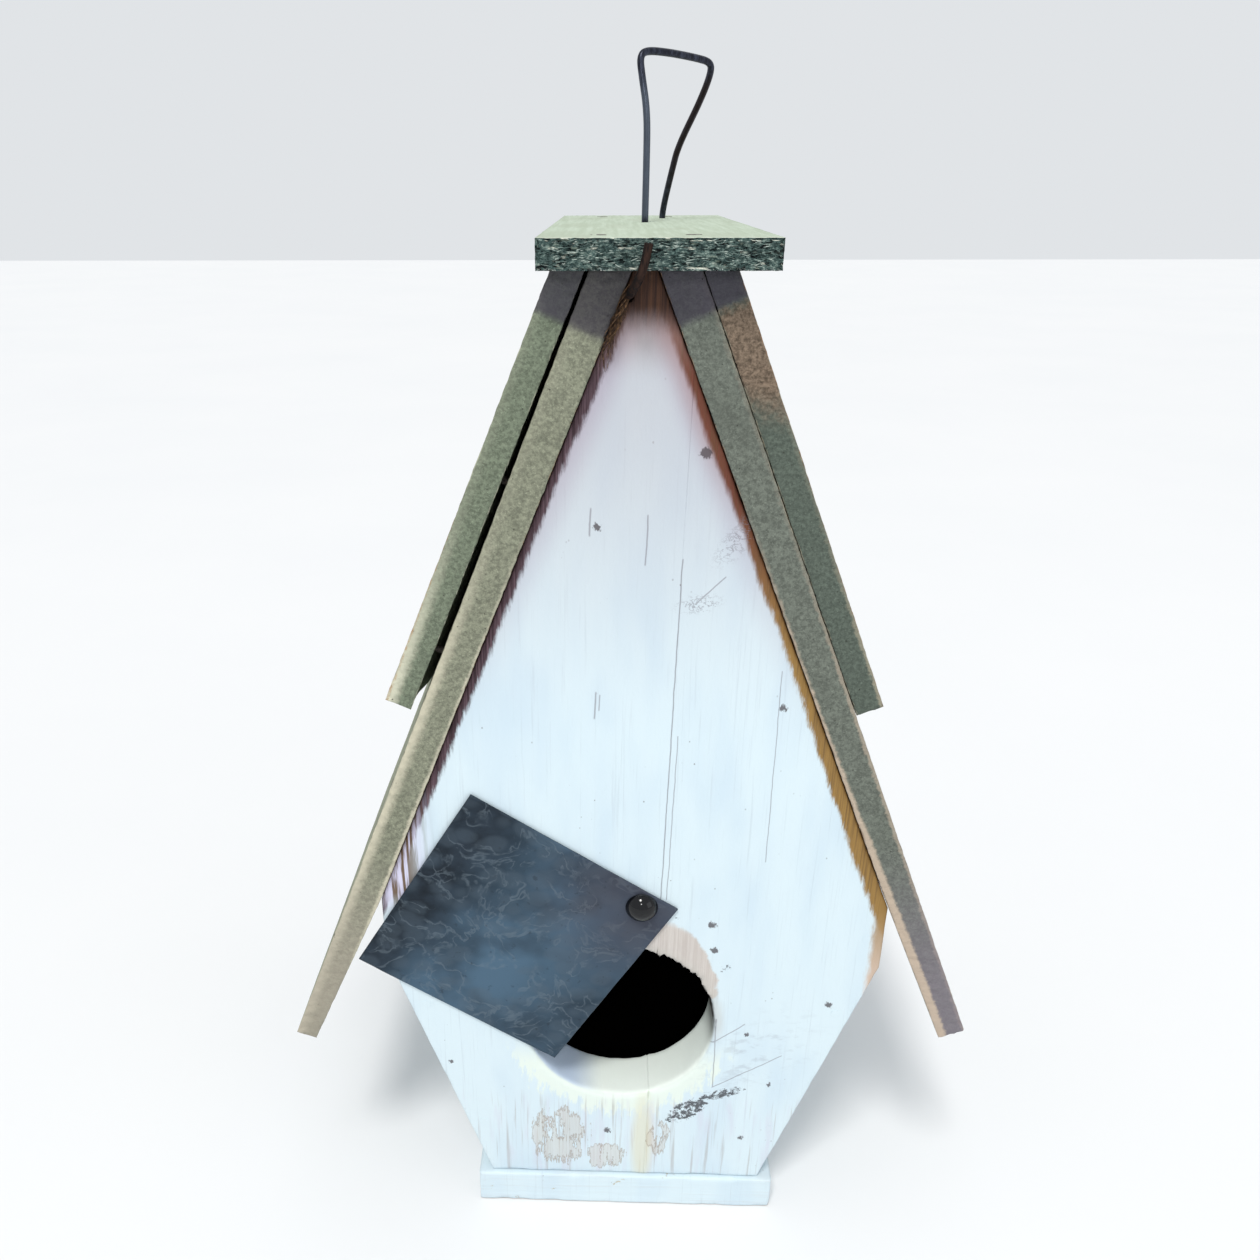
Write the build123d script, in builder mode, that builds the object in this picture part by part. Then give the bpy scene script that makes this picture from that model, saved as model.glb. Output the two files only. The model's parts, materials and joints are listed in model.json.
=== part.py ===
from build123d import *

import os
from collections import namedtuple
from math import atan2, cos, degrees, hypot, radians, sin, tan

# A hanging birdhouse of old painted boards.
# Frame: origin at the middle of the floor board's underside, +Z up, front towards -Y, +X to the
# right of someone facing the front. All sizes are in millimetres.

# ---------------------------------------------------------------- house
house_width = 180.0          # across the end boards at their widest
house_depth = 192.0          # length of the roof boards, front to back
base_width = 108.0           # across the end boards where they stand on the floor
taper_height = 107.0         # from the floor's top to where the sides become upright
side_height = 26.0           # upright stretch below the roof
roof_rise = 208.0            # from the top of the upright stretch to the ridge cap
ridge_gap = 6.8              # between the inner faces of the roof boards, under the cap
ridge_shift = -1.6           # the ridge stands a little left of the middle

# ---------------------------------------------------------------- floor
floor_width = 119.0
floor_thickness = 15.0

# ---------------------------------------------------------------- end boards
end_thickness = 22.0
end_inset = 2.0              # faces stand back from the ends of the roof boards
joint_x_bottom = 7.6         # seam between the two planks of an end board, at the floor
joint_x_top = 13.4           # and at the height of the ridge
tongue_depth = 6.0
tongue_thickness = 7.0
tongue_clearance = 0.15

# ---------------------------------------------------------------- side walls
wall_thickness = 12.0

# ---------------------------------------------------------------- roof
lower_board_thickness = 11.0
lower_board_length_left = 295.0    # down the slope from the cap
lower_board_length_right = 288.0
lower_board_wear_left = 3.2        # how much thinner the overhanging foot has worn, inside
lower_board_wear_right = 1.2
upper_board_thickness = 9.0
upper_board_length = 148.5
left_board_lift_top = 0.8          # the upper left board has sprung away from the lower one
left_board_lift_bottom = 2.8
cap_width = 65.0
cap_thickness = 8.0
cap_overhang = 8.0                 # past the roof boards, front and back
cap_shift = 1.5

# ---------------------------------------------------------------- entrance and its cover plate
hole_diameter = 70.0
hole_x = -3.4
hole_edge_wear = 1.5         # the front edge of the hole is worn back
hole_above_floor = 77.5
plate_width = 85.0
plate_height = 83.0
plate_thickness = 1.0
plate_play = 0.3                   # behind the plate, and between it and the nail's head
plate_side_margin = 11.3           # from the pivot to the plate's right edge
plate_top_margin = 6.2             # from the pivot to the plate's top edge
plate_stop_gap = 0.5               # from the plate's outer corner to the line of the roof slope, at rest
pivot_right_of_hole = 6.6
pivot_above_hole = 55.2
pivot_head_diameter = 11.5
pivot_head_height = 4.0
pivot_shank_diameter = 3.0
pivot_nail_length = 20.0
pivot_clearance = 0.08             # on the radius, in the plate

# ---------------------------------------------------------------- hanging wire
wire_diameter = 2.4
wire_clearance = 0.3               # on the radius, in its holes
left_leg_x = 0.9
right_leg_x = 8.8
leg_spacing = 48.0                 # between the legs, front to back
leg_to_back_board = 8.0            # from the right leg to the back board's inner face
tail_height = 7.0                  # the tail leaves the front this far below the cap
tail_stand_off = 1.8               # from the cap's front edge to the middle of the tail
clinch_depth = 23.0                # the right leg's end is bent over this far below the cap
clinch_length = 24.0

# ---------------------------------------------------------------- nails
NailSize = namedtuple("NailSize", "head_diameter head_height shank_diameter length")
finishing_nail = NailSize(3.2, 1.2, 2.0, 40.0)
roof_nail = NailSize(5.5, 1.0, 2.4, 45.0)
cap_nail = NailSize(4.5, 1.0, 2.0, 26.0)
floor_nail = NailSize(5.0, 1.0, 2.6, 45.0)
nail_clearance = 0.03
nail_point = 4.0                   # length of the pointed end
nail_tip_share = 0.1               # radius of its tip, as a share of the shank's diameter
wall_nail_shares = (0.25, 0.8)     # heights up the sloping side walls, from the floor's top
floor_nail_margin = 22.0           # in from the end boards' lower corners
lower_nail_along = 185.0           # down the slope, through the lower roof boards
upper_nail_alongs = (70.0, 130.0)  # and through both layers

# ---------------------------------------------------------------- heights and depths
taper_z = floor_thickness + taper_height
eave_z = taper_z + side_height
ridge_z = eave_z + roof_rise
cap_top_z = ridge_z + cap_thickness
hole_z = floor_thickness + hole_above_floor
roof_front_y = -house_depth / 2
front_face_y = roof_front_y + end_inset
front_inner_y = front_face_y + end_thickness
front_middle_y = (front_face_y + front_inner_y) / 2
cap_front_y = roof_front_y - cap_overhang
cap_nail_spread = house_depth / 2 - end_thickness / 2
right_leg_y = -front_inner_y - leg_to_back_board
left_leg_y = right_leg_y - leg_spacing
pivot_x = hole_x + pivot_right_of_hole
pivot_z = hole_z + pivot_above_hole
SIDES = {"left": -1, "right": 1}


# ---------------------------------------------------------------- points in the front view (x, z)
def ridge_x(side):
    """Where the inner face of a roof slope meets the cap."""
    return ridge_shift + side * ridge_gap / 2


def slope_angle(side):
    """Angle between a roof slope and the vertical."""
    return atan2(abs(side * house_width / 2 - ridge_x(side)), roof_rise)


def on_roof(side, along, out):
    """A point `along` the slope below the cap and `out` from the slope's inner face."""
    angle = slope_angle(side)
    return (
        ridge_x(side) + side * (along * sin(angle) + out * cos(angle)),
        ridge_z - along * cos(angle) + out * sin(angle),
    )


def joint_x(z):
    """The seam between the planks of an end board leans a little."""
    share = (z - floor_thickness) / (ridge_z - floor_thickness)
    return joint_x_bottom + share * (joint_x_top - joint_x_bottom)


def wall_inner_x(side, z):
    """Inner face of the sloping lower side wall."""
    lean = atan2((house_width - base_width) / 2, taper_height)
    outer = base_width / 2 + (z - floor_thickness) * tan(lean)
    return side * (outer - wall_thickness / cos(lean))


def end_outline():
    """Both end boards together, from the floor to the cap."""
    half_base, half_width = base_width / 2, house_width / 2
    return [
        (-half_base, floor_thickness),
        (half_base, floor_thickness),
        (half_width, taper_z),
        (half_width, eave_z),
        (ridge_x(1), ridge_z),
        (ridge_x(-1), ridge_z),
        (-half_width, eave_z),
        (-half_width, taper_z),
    ]


def joint_strip(start, end):
    """The band between two distances to the right of the seam."""
    margin = 5.0
    low, high = floor_thickness - margin, ridge_z + margin
    return [
        (joint_x(low) + start, low),
        (joint_x(low) + end, low),
        (joint_x(high) + end, high),
        (joint_x(high) + start, high),
    ]


def outline_face(y, points, within=None):
    """A face seen from the front at depth y, cut to a second outline if there is one."""
    with BuildSketch(Plane.XZ.offset(-y)) as face:
        with BuildLine():
            Polyline(*points, close=True)
        make_face()
        if within:
            with BuildLine():
                Polyline(*within, close=True)
            make_face(mode=Mode.INTERSECT)
    return face.sketch


# ---------------------------------------------------------------- nails and where they go
def drive_nails(places, size, grow=0.0, mode=Mode.ADD):
    """Nails whose heads lie on the given planes and whose shanks run against their normals."""
    shank_radius = size.shank_diameter / 2 + grow
    head_radius = size.head_diameter / 2 + grow
    shank_length = size.length - nail_point
    top = (Align.CENTER, Align.CENTER, Align.MAX)
    with Locations(*places):
        Cylinder(head_radius, size.head_height + grow, align=top, mode=mode)
        Cylinder(shank_radius, shank_length + grow, align=top, mode=mode)
    with Locations(*[place.offset(-shank_length - grow) for place in places]):
        Cone(size.shank_diameter * nail_tip_share, shank_radius, nail_point, align=top, mode=mode)


def facing(x, y, z, normal):
    """A plane for a nail's head, facing back along the way the nail was driven."""
    return Plane(origin=(x, y, z), z_dir=normal)


def end_nail_places(facing_y):
    """Nails through an end board into the ends of the side walls and strips."""
    places = []
    for side in SIDES.values():
        for share in wall_nail_shares:
            z = floor_thickness + share * taper_height
            lean = atan2((house_width - base_width) / 2, taper_height)
            x = wall_inner_x(side, z) + side * wall_thickness / cos(lean) / 2
            places.append(facing(x, -facing_y * front_face_y, z, (0, facing_y, 0)))
        x = side * (house_width - wall_thickness) / 2
        places.append(facing(x, -facing_y * front_face_y, taper_z + side_height / 2, (0, facing_y, 0)))
    return places


def roof_nail_places(side, along, out):
    """Nails through the roof boards, square to the slope, into both end boards."""
    x, z = on_roof(side, along, out)
    angle = slope_angle(side)
    return [facing(x, y, z, (side * cos(angle), 0, sin(angle))) for y in (front_middle_y, -front_middle_y)]


def upper_board_line(side):
    """Inner face of an upper roof board: its distances from the slope at the cap and at its foot."""
    lifts = (left_board_lift_top, left_board_lift_bottom) if side < 0 else (0.0, 0.0)
    return [lower_board_thickness + lift for lift in lifts]


def cap_nail_places():
    """Nails through the cap into the top ends of the lower roof boards."""
    grip = cap_nail.length - cap_thickness
    places = []
    for side in SIDES.values():
        angle = slope_angle(side)
        reach = grip / 2 * tan(angle) + lower_board_thickness / cos(angle) / 2
        for y in (cap_nail_spread, -cap_nail_spread):
            places.append(facing(ridge_x(side) + side * reach, y, cap_top_z, (0, 0, 1)))
    return places


floor_nail_places = [
    facing(x, y, 0, (0, 0, -1))
    for x in (floor_nail_margin - base_width / 2, base_width / 2 - floor_nail_margin)
    for y in (front_middle_y, -front_middle_y)
]


def all_roof_nails(side):
    top_distance, foot_distance = upper_board_line(side)
    places = roof_nail_places(side, lower_nail_along, lower_board_thickness)
    for along in upper_nail_alongs:
        share = along / upper_board_length
        inner = top_distance + share * (foot_distance - top_distance)
        places += roof_nail_places(side, along, inner + upper_board_thickness)
    return places


# ---------------------------------------------------------------- floor
with BuildPart() as floor_board:
    Box(floor_width, house_depth, floor_thickness, align=(Align.CENTER, Align.CENTER, Align.MIN))
    drive_nails(floor_nail_places, floor_nail, nail_clearance, Mode.SUBTRACT)


# ---------------------------------------------------------------- end boards
def tail_path_x():
    """The wire's tail leaves beside the left roof board, clear of its inner face."""
    angle = slope_angle(-1)
    edge = ridge_x(-1) - tail_height * tan(angle)
    return edge + (wire_diameter / 2 + wire_clearance) / cos(angle)


def end_plank(side_of_joint, face_y):
    """One plank of an end board; the left one carries the tongue, the right one the groove."""
    far = house_width
    middle_y = face_y + end_thickness / 2
    tongue_y = middle_y - tongue_thickness / 2
    with BuildPart() as plank:
        if side_of_joint < 0:
            extrude(outline_face(face_y, end_outline(), joint_strip(-far, 0)), amount=-end_thickness)
            tongue = outline_face(tongue_y, end_outline(), joint_strip(-tongue_depth, tongue_depth))
            extrude(tongue, amount=-tongue_thickness)
        else:
            extrude(outline_face(face_y, end_outline(), joint_strip(0, far)), amount=-end_thickness)
            groove = joint_strip(-tongue_depth, tongue_depth + tongue_clearance)
            groove_face = outline_face(tongue_y - tongue_clearance, groove)
            extrude(groove_face, amount=-(tongue_thickness + 2 * tongue_clearance), mode=Mode.SUBTRACT)
        facing_y = -1 if face_y < 0 else 1
        drive_nails(end_nail_places(facing_y), finishing_nail, nail_clearance, Mode.SUBTRACT)
        drive_nails(floor_nail_places, floor_nail, nail_clearance, Mode.SUBTRACT)
        for side in SIDES.values():
            drive_nails(all_roof_nails(side), roof_nail, nail_clearance, Mode.SUBTRACT)
    return plank.part


def entrance_cutter():
    """The round entrance, through both planks of the front."""
    with BuildPart() as cutter:
        with BuildSketch(Plane.XZ.offset(-front_face_y + 1)):
            with Locations((hole_x, hole_z)):
                Circle(hole_diameter / 2)
        extrude(amount=-(end_thickness + 2))
        with Locations(facing(hole_x, front_face_y, hole_z, (0, 1, 0))):
            Cone(
                hole_diameter / 2 + hole_edge_wear,
                hole_diameter / 2,
                hole_edge_wear,
                align=(Align.CENTER, Align.CENTER, Align.MIN),
            )
    return cutter.part


with BuildPart() as front_board_left:
    add(end_plank(-1, front_face_y))
    add(entrance_cutter(), mode=Mode.SUBTRACT)
    with BuildSketch(Plane.XZ.offset(-front_face_y)):
        with Locations((tail_path_x(), ridge_z - tail_height)):
            notch_width = wire_diameter + 2 * wire_clearance
            Circle(notch_width / 2)
            outwards = 180 - degrees(slope_angle(-1))
            Rectangle(notch_width, notch_width, rotation=outwards, align=(Align.MIN, Align.CENTER))
        with Locations((pivot_x, pivot_z)):
            Circle(pivot_shank_diameter / 2 + nail_clearance)
    extrude(amount=-end_thickness, mode=Mode.SUBTRACT)

with BuildPart() as front_board_right:
    add(end_plank(1, front_face_y))
    add(entrance_cutter(), mode=Mode.SUBTRACT)

with BuildPart() as back_board_left:
    add(end_plank(-1, -front_face_y - end_thickness))

with BuildPart() as back_board_right:
    add(end_plank(1, -front_face_y - end_thickness))


# ---------------------------------------------------------------- side walls, between the end boards
def side_wall(side):
    """The lower side wall slopes out from the floor."""
    outline = [
        (side * base_width / 2, floor_thickness),
        (side * house_width / 2, taper_z),
        (wall_inner_x(side, taper_z), taper_z),
        (wall_inner_x(side, floor_thickness), floor_thickness),
    ]
    with BuildPart() as wall:
        extrude(outline_face(front_inner_y, outline), amount=2 * front_inner_y)
        for facing_y in (-1, 1):
            drive_nails(end_nail_places(facing_y), finishing_nail, nail_clearance, Mode.SUBTRACT)
    return wall.part


def side_strip(side):
    """A short upright strip closes the side between the lower wall and the roof."""
    outer_x = side * house_width / 2
    inner_x = outer_x - side * wall_thickness
    top_z = eave_z + wall_thickness / tan(slope_angle(side))
    outline = [(outer_x, taper_z), (outer_x, eave_z), (inner_x, top_z), (inner_x, taper_z)]
    with BuildPart() as strip:
        extrude(outline_face(front_inner_y, outline), amount=2 * front_inner_y)
        for facing_y in (-1, 1):
            drive_nails(end_nail_places(facing_y), finishing_nail, nail_clearance, Mode.SUBTRACT)
    return strip.part


# ---------------------------------------------------------------- roof
def roof_board(side, near_top, near_foot, length, thickness, foot_wear=0.0):
    """A roof board, cut level under the cap and square at its foot.

    near_top and near_foot are how far its inner face stands out from the slope at its two ends.
    foot_wear thins the overhanging end from inside, below the walls.
    """
    angle = slope_angle(side)
    top = (ridge_x(side) + side * near_top / cos(angle), ridge_z)
    foot = on_roof(side, length, near_foot)
    lean = atan2(abs(foot[0] - top[0]), top[1] - foot[1])
    outer_foot = (foot[0] + side * thickness * cos(lean), foot[1] + thickness * sin(lean))
    outer_top = (top[0] + side * thickness / cos(lean), ridge_z)
    outline = [top, foot, outer_foot, outer_top]
    if foot_wear:
        worn_foot = on_roof(side, length, near_foot + foot_wear)
        outline = [top, on_roof(side, roof_rise / cos(angle), 0), worn_foot, outer_foot, outer_top]
    with BuildPart() as board:
        extrude(outline_face(roof_front_y, outline), amount=-house_depth)
        drive_nails(all_roof_nails(side), roof_nail, nail_clearance, Mode.SUBTRACT)
        drive_nails(cap_nail_places(), cap_nail, nail_clearance, Mode.SUBTRACT)
        with Locations((left_leg_x, left_leg_y, ridge_z), (right_leg_x, right_leg_y, ridge_z)):
            Cylinder(wire_diameter / 2 + wire_clearance, 2 * clinch_depth, mode=Mode.SUBTRACT)
    return board.part


def lower_roof_board(side, length, foot_wear):
    return roof_board(side, 0, 0, length, lower_board_thickness, foot_wear)


def upper_roof_board(side):
    near_top, near_foot = upper_board_line(side)
    return roof_board(side, near_top, near_foot, upper_board_length, upper_board_thickness)


with BuildPart() as ridge_cap:
    with Locations((cap_shift, 0, ridge_z)):
        Box(
            cap_width,
            house_depth + 2 * cap_overhang,
            cap_thickness,
            align=(Align.CENTER, Align.CENTER, Align.MIN),
        )
    with Locations((left_leg_x, left_leg_y, ridge_z), (right_leg_x, right_leg_y, ridge_z)):
        Cylinder(wire_diameter / 2 + wire_clearance, 3 * cap_thickness, mode=Mode.SUBTRACT)
    drive_nails(cap_nail_places(), cap_nail, nail_clearance, Mode.SUBTRACT)

# ---------------------------------------------------------------- hanging wire
# One bent wire: a tail turned up in front of the cap, a run back under the ridge, the loop above
# the cap, and the other end bent over inside the roof. Loop points are heights above the cap.
tail_x = tail_path_x()
tail_z = ridge_z - tail_height
tail_y = cap_front_y - tail_stand_off
loop_points = [
    (left_leg_x + 0.2, left_leg_y, 31.0),
    (left_leg_x - 3.3, left_leg_y + 2.0, 51.0),
    (left_leg_x + 7.1, left_leg_y + 10.0, 52.4),
    (right_leg_x + 15.2, right_leg_y - 25.5, 49.8),
    (right_leg_x + 4.0, right_leg_y - 10.0, 23.0),
    (right_leg_x, right_leg_y, 2.5),
]
wire_points = [
    (left_leg_x - 2.2, tail_y, cap_top_z - 1.2),
    (tail_x + 2.9, tail_y, ridge_z - 1.2),
    (tail_x, front_face_y - 2.0, tail_z),
    (tail_x, front_inner_y + 8.0, tail_z),
    (left_leg_x, left_leg_y, tail_z - 1),
    *[(x, y, cap_top_z + height) for x, y, height in loop_points],
    (right_leg_x, right_leg_y, ridge_z - clinch_depth),
    (right_leg_x, right_leg_y - clinch_length, ridge_z - clinch_depth),
]
bend_radii = [3.0, 3.0, 5.0, 3.0, 15.0, 3.5, 20.0, 3.5, 30.0, 6.0, 4.0]

with BuildPart() as hanging_wire:
    with BuildLine() as wire_route:
        FilletPolyline(*wire_points, radius=bend_radii)
    with BuildSketch(Plane(origin=wire_route.line @ 0, z_dir=wire_route.line % 0)):
        Circle(wire_diameter / 2)
    sweep()

# ---------------------------------------------------------------- cover plate and its pivot nail
plate_back_y = front_face_y - plate_play
plate_front_y = plate_back_y - plate_thickness


def plate_rest_angle():
    """Tilt of the plate's top edge when its outer corner stands at the roof board."""
    corner_x = -(plate_width - plate_side_margin)
    corner_z = -(plate_height - plate_top_margin)
    reach = hypot(corner_x, corner_z)
    angle = slope_angle(-1)
    to_roof = (pivot_x - ridge_x(-1)) * cos(angle) + (ridge_z - pivot_z) * sin(angle)
    to_stop = to_roof - plate_stop_gap
    along_stop = (reach**2 - to_stop**2) ** 0.5
    corner_turn = radians(180) - angle + atan2(along_stop, to_stop)
    return corner_turn - atan2(corner_z, corner_x) % radians(360)


plate_tilt = plate_rest_angle()
plate_plane = Plane(
    origin=(pivot_x, plate_back_y, pivot_z),
    x_dir=(cos(plate_tilt), 0, sin(plate_tilt)),
    z_dir=(0, -1, 0),
)

with BuildPart() as cover_plate:
    with BuildSketch(plate_plane):
        with Locations((plate_side_margin - plate_width / 2, plate_top_margin - plate_height / 2)):
            Rectangle(plate_width, plate_height)
        Circle(pivot_shank_diameter / 2 + pivot_clearance, mode=Mode.SUBTRACT)
    extrude(amount=plate_thickness)

with BuildPart() as pivot_nail:
    head_y = plate_front_y - plate_play
    shank_radius = pivot_shank_diameter / 2
    head_radius = pivot_head_diameter / 2
    rise = pivot_head_height
    dome_radius = (head_radius**2 + rise**2) / (2 * rise)
    half_turn = atan2(head_radius, dome_radius - rise) / 2
    dome_shoulder = (dome_radius * sin(half_turn), dome_radius - rise - dome_radius * cos(half_turn))
    with BuildSketch(Plane(origin=(pivot_x, head_y, pivot_z), z_dir=(0, 0, 1))):
        with BuildLine():
            ThreePointArc((0, -rise), dome_shoulder, (head_radius, 0))
            Polyline(
                (head_radius, 0),
                (shank_radius, 0),
                (shank_radius, pivot_nail_length - nail_point),
                (0, pivot_nail_length),
                (0, -rise),
            )
        make_face()
    revolve(axis=Axis((pivot_x, head_y, pivot_z), (0, 1, 0)))

# ---------------------------------------------------------------- groups of identical nails
with BuildPart() as floor_nails:
    drive_nails(floor_nail_places, floor_nail)

with BuildPart() as front_nails:
    drive_nails(end_nail_places(-1), finishing_nail)

with BuildPart() as back_nails:
    drive_nails(end_nail_places(1), finishing_nail)

with BuildPart() as roof_nails_left:
    drive_nails(all_roof_nails(-1), roof_nail)

with BuildPart() as roof_nails_right:
    drive_nails(all_roof_nails(1), roof_nail)

with BuildPart() as cap_nails:
    drive_nails(cap_nail_places(), cap_nail)

# ---------------------------------------------------------------- files
pieces = {
    "floor_board": floor_board.part,
    "front_board_left": front_board_left.part,
    "front_board_right": front_board_right.part,
    "back_board_left": back_board_left.part,
    "back_board_right": back_board_right.part,
    "side_wall_left": side_wall(-1),
    "side_wall_right": side_wall(1),
    "side_strip_left": side_strip(-1),
    "side_strip_right": side_strip(1),
    "roof_lower_left": lower_roof_board(-1, lower_board_length_left, lower_board_wear_left),
    "roof_lower_right": lower_roof_board(1, lower_board_length_right, lower_board_wear_right),
    "roof_upper_left": upper_roof_board(-1),
    "roof_upper_right": upper_roof_board(1),
    "ridge_cap": ridge_cap.part,
    "hanging_wire": hanging_wire.part,
    "cover_plate": cover_plate.part,
    "pivot_nail": pivot_nail.part,
    "floor_nails": floor_nails.part,
    "front_nails": front_nails.part,
    "back_nails": back_nails.part,
    "roof_nails_left": roof_nails_left.part,
    "roof_nails_right": roof_nails_right.part,
    "cap_nails": cap_nails.part,
}

os.makedirs("parts", exist_ok=True)
for name, piece in pieces.items():
    piece.label = name
    export_step(piece, f"parts/{name}.step")

print("plate tilt at rest, degrees:", round(degrees(plate_tilt), 2))
print("pivot:", round(pivot_x, 2), round(plate_back_y, 2), round(pivot_z, 2))
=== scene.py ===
"""Looks of the hanging birdhouse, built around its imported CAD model. Metres, +Z up, front to -Y."""

import json
from functools import partial, reduce
from math import atan2, cos, hypot, pi, radians, sin

import bmesh
import bpy
import numpy as np
from mathutils import Matrix, Vector
from mathutils.geometry import convex_hull_2d, delaunay_2d_cdt


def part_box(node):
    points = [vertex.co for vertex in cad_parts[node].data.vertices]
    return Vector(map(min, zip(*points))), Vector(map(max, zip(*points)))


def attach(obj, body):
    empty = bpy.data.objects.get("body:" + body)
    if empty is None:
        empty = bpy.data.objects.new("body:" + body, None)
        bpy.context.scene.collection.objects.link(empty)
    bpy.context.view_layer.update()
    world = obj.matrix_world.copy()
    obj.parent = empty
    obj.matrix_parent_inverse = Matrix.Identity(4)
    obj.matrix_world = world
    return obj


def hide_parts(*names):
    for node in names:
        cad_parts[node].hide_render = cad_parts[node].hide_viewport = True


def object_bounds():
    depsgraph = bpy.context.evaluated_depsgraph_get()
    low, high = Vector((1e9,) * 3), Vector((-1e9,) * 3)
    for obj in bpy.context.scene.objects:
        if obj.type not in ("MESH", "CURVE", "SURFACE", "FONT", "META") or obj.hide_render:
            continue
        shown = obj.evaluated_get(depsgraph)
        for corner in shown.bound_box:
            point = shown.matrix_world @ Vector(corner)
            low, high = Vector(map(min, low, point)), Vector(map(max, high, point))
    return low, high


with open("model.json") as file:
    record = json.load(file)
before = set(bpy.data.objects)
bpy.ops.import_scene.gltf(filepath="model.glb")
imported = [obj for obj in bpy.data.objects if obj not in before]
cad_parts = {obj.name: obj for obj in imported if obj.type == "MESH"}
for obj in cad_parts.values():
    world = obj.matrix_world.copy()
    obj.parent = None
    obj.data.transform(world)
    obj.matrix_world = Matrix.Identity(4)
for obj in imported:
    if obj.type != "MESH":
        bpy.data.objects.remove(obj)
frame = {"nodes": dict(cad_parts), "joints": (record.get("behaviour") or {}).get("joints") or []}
cad_low, cad_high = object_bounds()
MM = 0.001


# ---------------------------------------------------------------- outlines read from the frame
def read(collection, field, kind=float):
    """A field of three numbers for every item of a mesh collection, as rows."""
    values = np.empty(len(collection) * 3, kind)
    collection.foreach_get(field, values)
    return values.reshape(-1, 3)


def mesh_arrays(node):
    """The points and triangles of a CAD node."""
    mesh = frame["nodes"][node].data
    mesh.calc_loop_triangles()
    return read(mesh.vertices, "co"), read(mesh.loop_triangles, "vertices", int)


def face_loops(node, depth):
    """Closed (x, z) loops around a node's flat faces at y = depth, longest first."""
    points, triangles = mesh_arrays(node)
    flat = triangles[(abs(points[triangles][:, :, 1] - depth) < 0.02 * MM).all(1)]
    keys = [tuple(np.round(p, 6)) for p in points]
    sides = {}
    for a, b, c in flat:
        for start, end in ((a, b), (b, c), (c, a)):
            sides[(keys[start], keys[end])] = True
    following = {start: end for start, end in sides if (end, start) not in sides}
    loops = []
    while following:
        first = next(iter(following))
        loop, key = [], first
        while key in following:
            loop.append((key[0], key[2]))
            key = following.pop(key)
        loops.append(np.array(loop))
    return sorted(loops, key=loop_length, reverse=True)


def loop_length(loop):
    """Length all the way round a loop."""
    return np.linalg.norm(np.roll(loop, -1, 0) - loop, axis=1).sum()


def resample(loop, spacing):
    """The loop with points along its sides, about `spacing` apart, and its corners kept."""
    out = []
    for start, end in zip(loop, np.roll(loop, -1, 0)):
        steps = max(1, round(np.linalg.norm(end - start) / spacing))
        out += [start + (end - start) * i / steps for i in range(steps)]
    return np.array(out)


def drop_straight_points(loop):
    """The loop's real corners only."""
    before, after = loop - np.roll(loop, 1, 0), np.roll(loop, -1, 0) - loop
    turn = np.abs(before[:, 0] * after[:, 1] - before[:, 1] * after[:, 0])
    return loop[turn > 1e-3 * np.linalg.norm(before, axis=1) * np.linalg.norm(after, axis=1)]


def inside(points, loop):
    """Which (x, z) points lie inside a loop."""
    hit = np.zeros(len(points), bool)
    for (x0, z0), (x1, z1) in zip(loop, np.roll(loop, -1, 0)):
        spans = (z0 > points[:, 1]) != (z1 > points[:, 1])
        if spans.any():
            hit ^= spans & (points[:, 0] < (x1 - x0) * (points[:, 1] - z0) / (z1 - z0 + 1e-15) + x0)
    return hit


def distance_to_loops(points, loops):
    """Distance of (x, z) points from the nearest of the loops."""
    best = np.full(len(points), np.inf)
    for loop in loops:
        for a, b in zip(loop, np.roll(loop, -1, 0)):
            side = b - a
            share = np.clip((points - a) @ side / max(side @ side, 1e-18), 0, 1)
            best = np.minimum(best, np.linalg.norm(points - a - share[:, None] * side, axis=1))
    return best


# ---------------------------------------------------------------- seeded noise for shapes
class Noise:
    """Smooth noise from -1 to 1, with features of a given size along each axis."""

    def __init__(self, seed, cells=40):
        self.cells = cells
        self.values = np.random.default_rng(seed).random((cells,) * 3) * 2 - 1

    def __call__(self, points, size, octaves=1):
        total, scale = 0, 1.0
        for _ in range(octaves):
            total = total + scale * self.layer(points / (np.asarray(size) * scale))
            scale /= 2
        return total

    def layer(self, p):
        cell = np.floor(p).astype(int)
        f = p - cell
        f = f * f * (3 - 2 * f)
        out = 0
        for corner in np.ndindex(2, 2, 2):
            share = np.prod([f[:, i] if c else 1 - f[:, i] for i, c in enumerate(corner)], axis=0)
            i, j, k = ((cell + corner) % self.cells).T
            out = out + share * self.values[i, j, k]
        return out


def stepped(low, high, fine, coarse, margin):
    """Depths between two faces, close together near each face and wider apart between them."""
    span = high - low
    margin = min(margin, span / 2)
    near = np.linspace(0, margin, max(2, round(margin / fine) + 1))
    middle = np.linspace(margin, span - margin, max(2, round((span - 2 * margin) / coarse) + 1))
    return low + np.unique(np.round(np.concatenate([near, middle, span - near]), 7))


# ---------------------------------------------------------------- boards
EDGE_INSETS = (0.25 * MM, 0.8 * MM)  # rows of points beside every edge, so that it can be rounded
ROW_STEP = 0.87                      # distance between rows of points, as a share of their spacing


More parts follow.
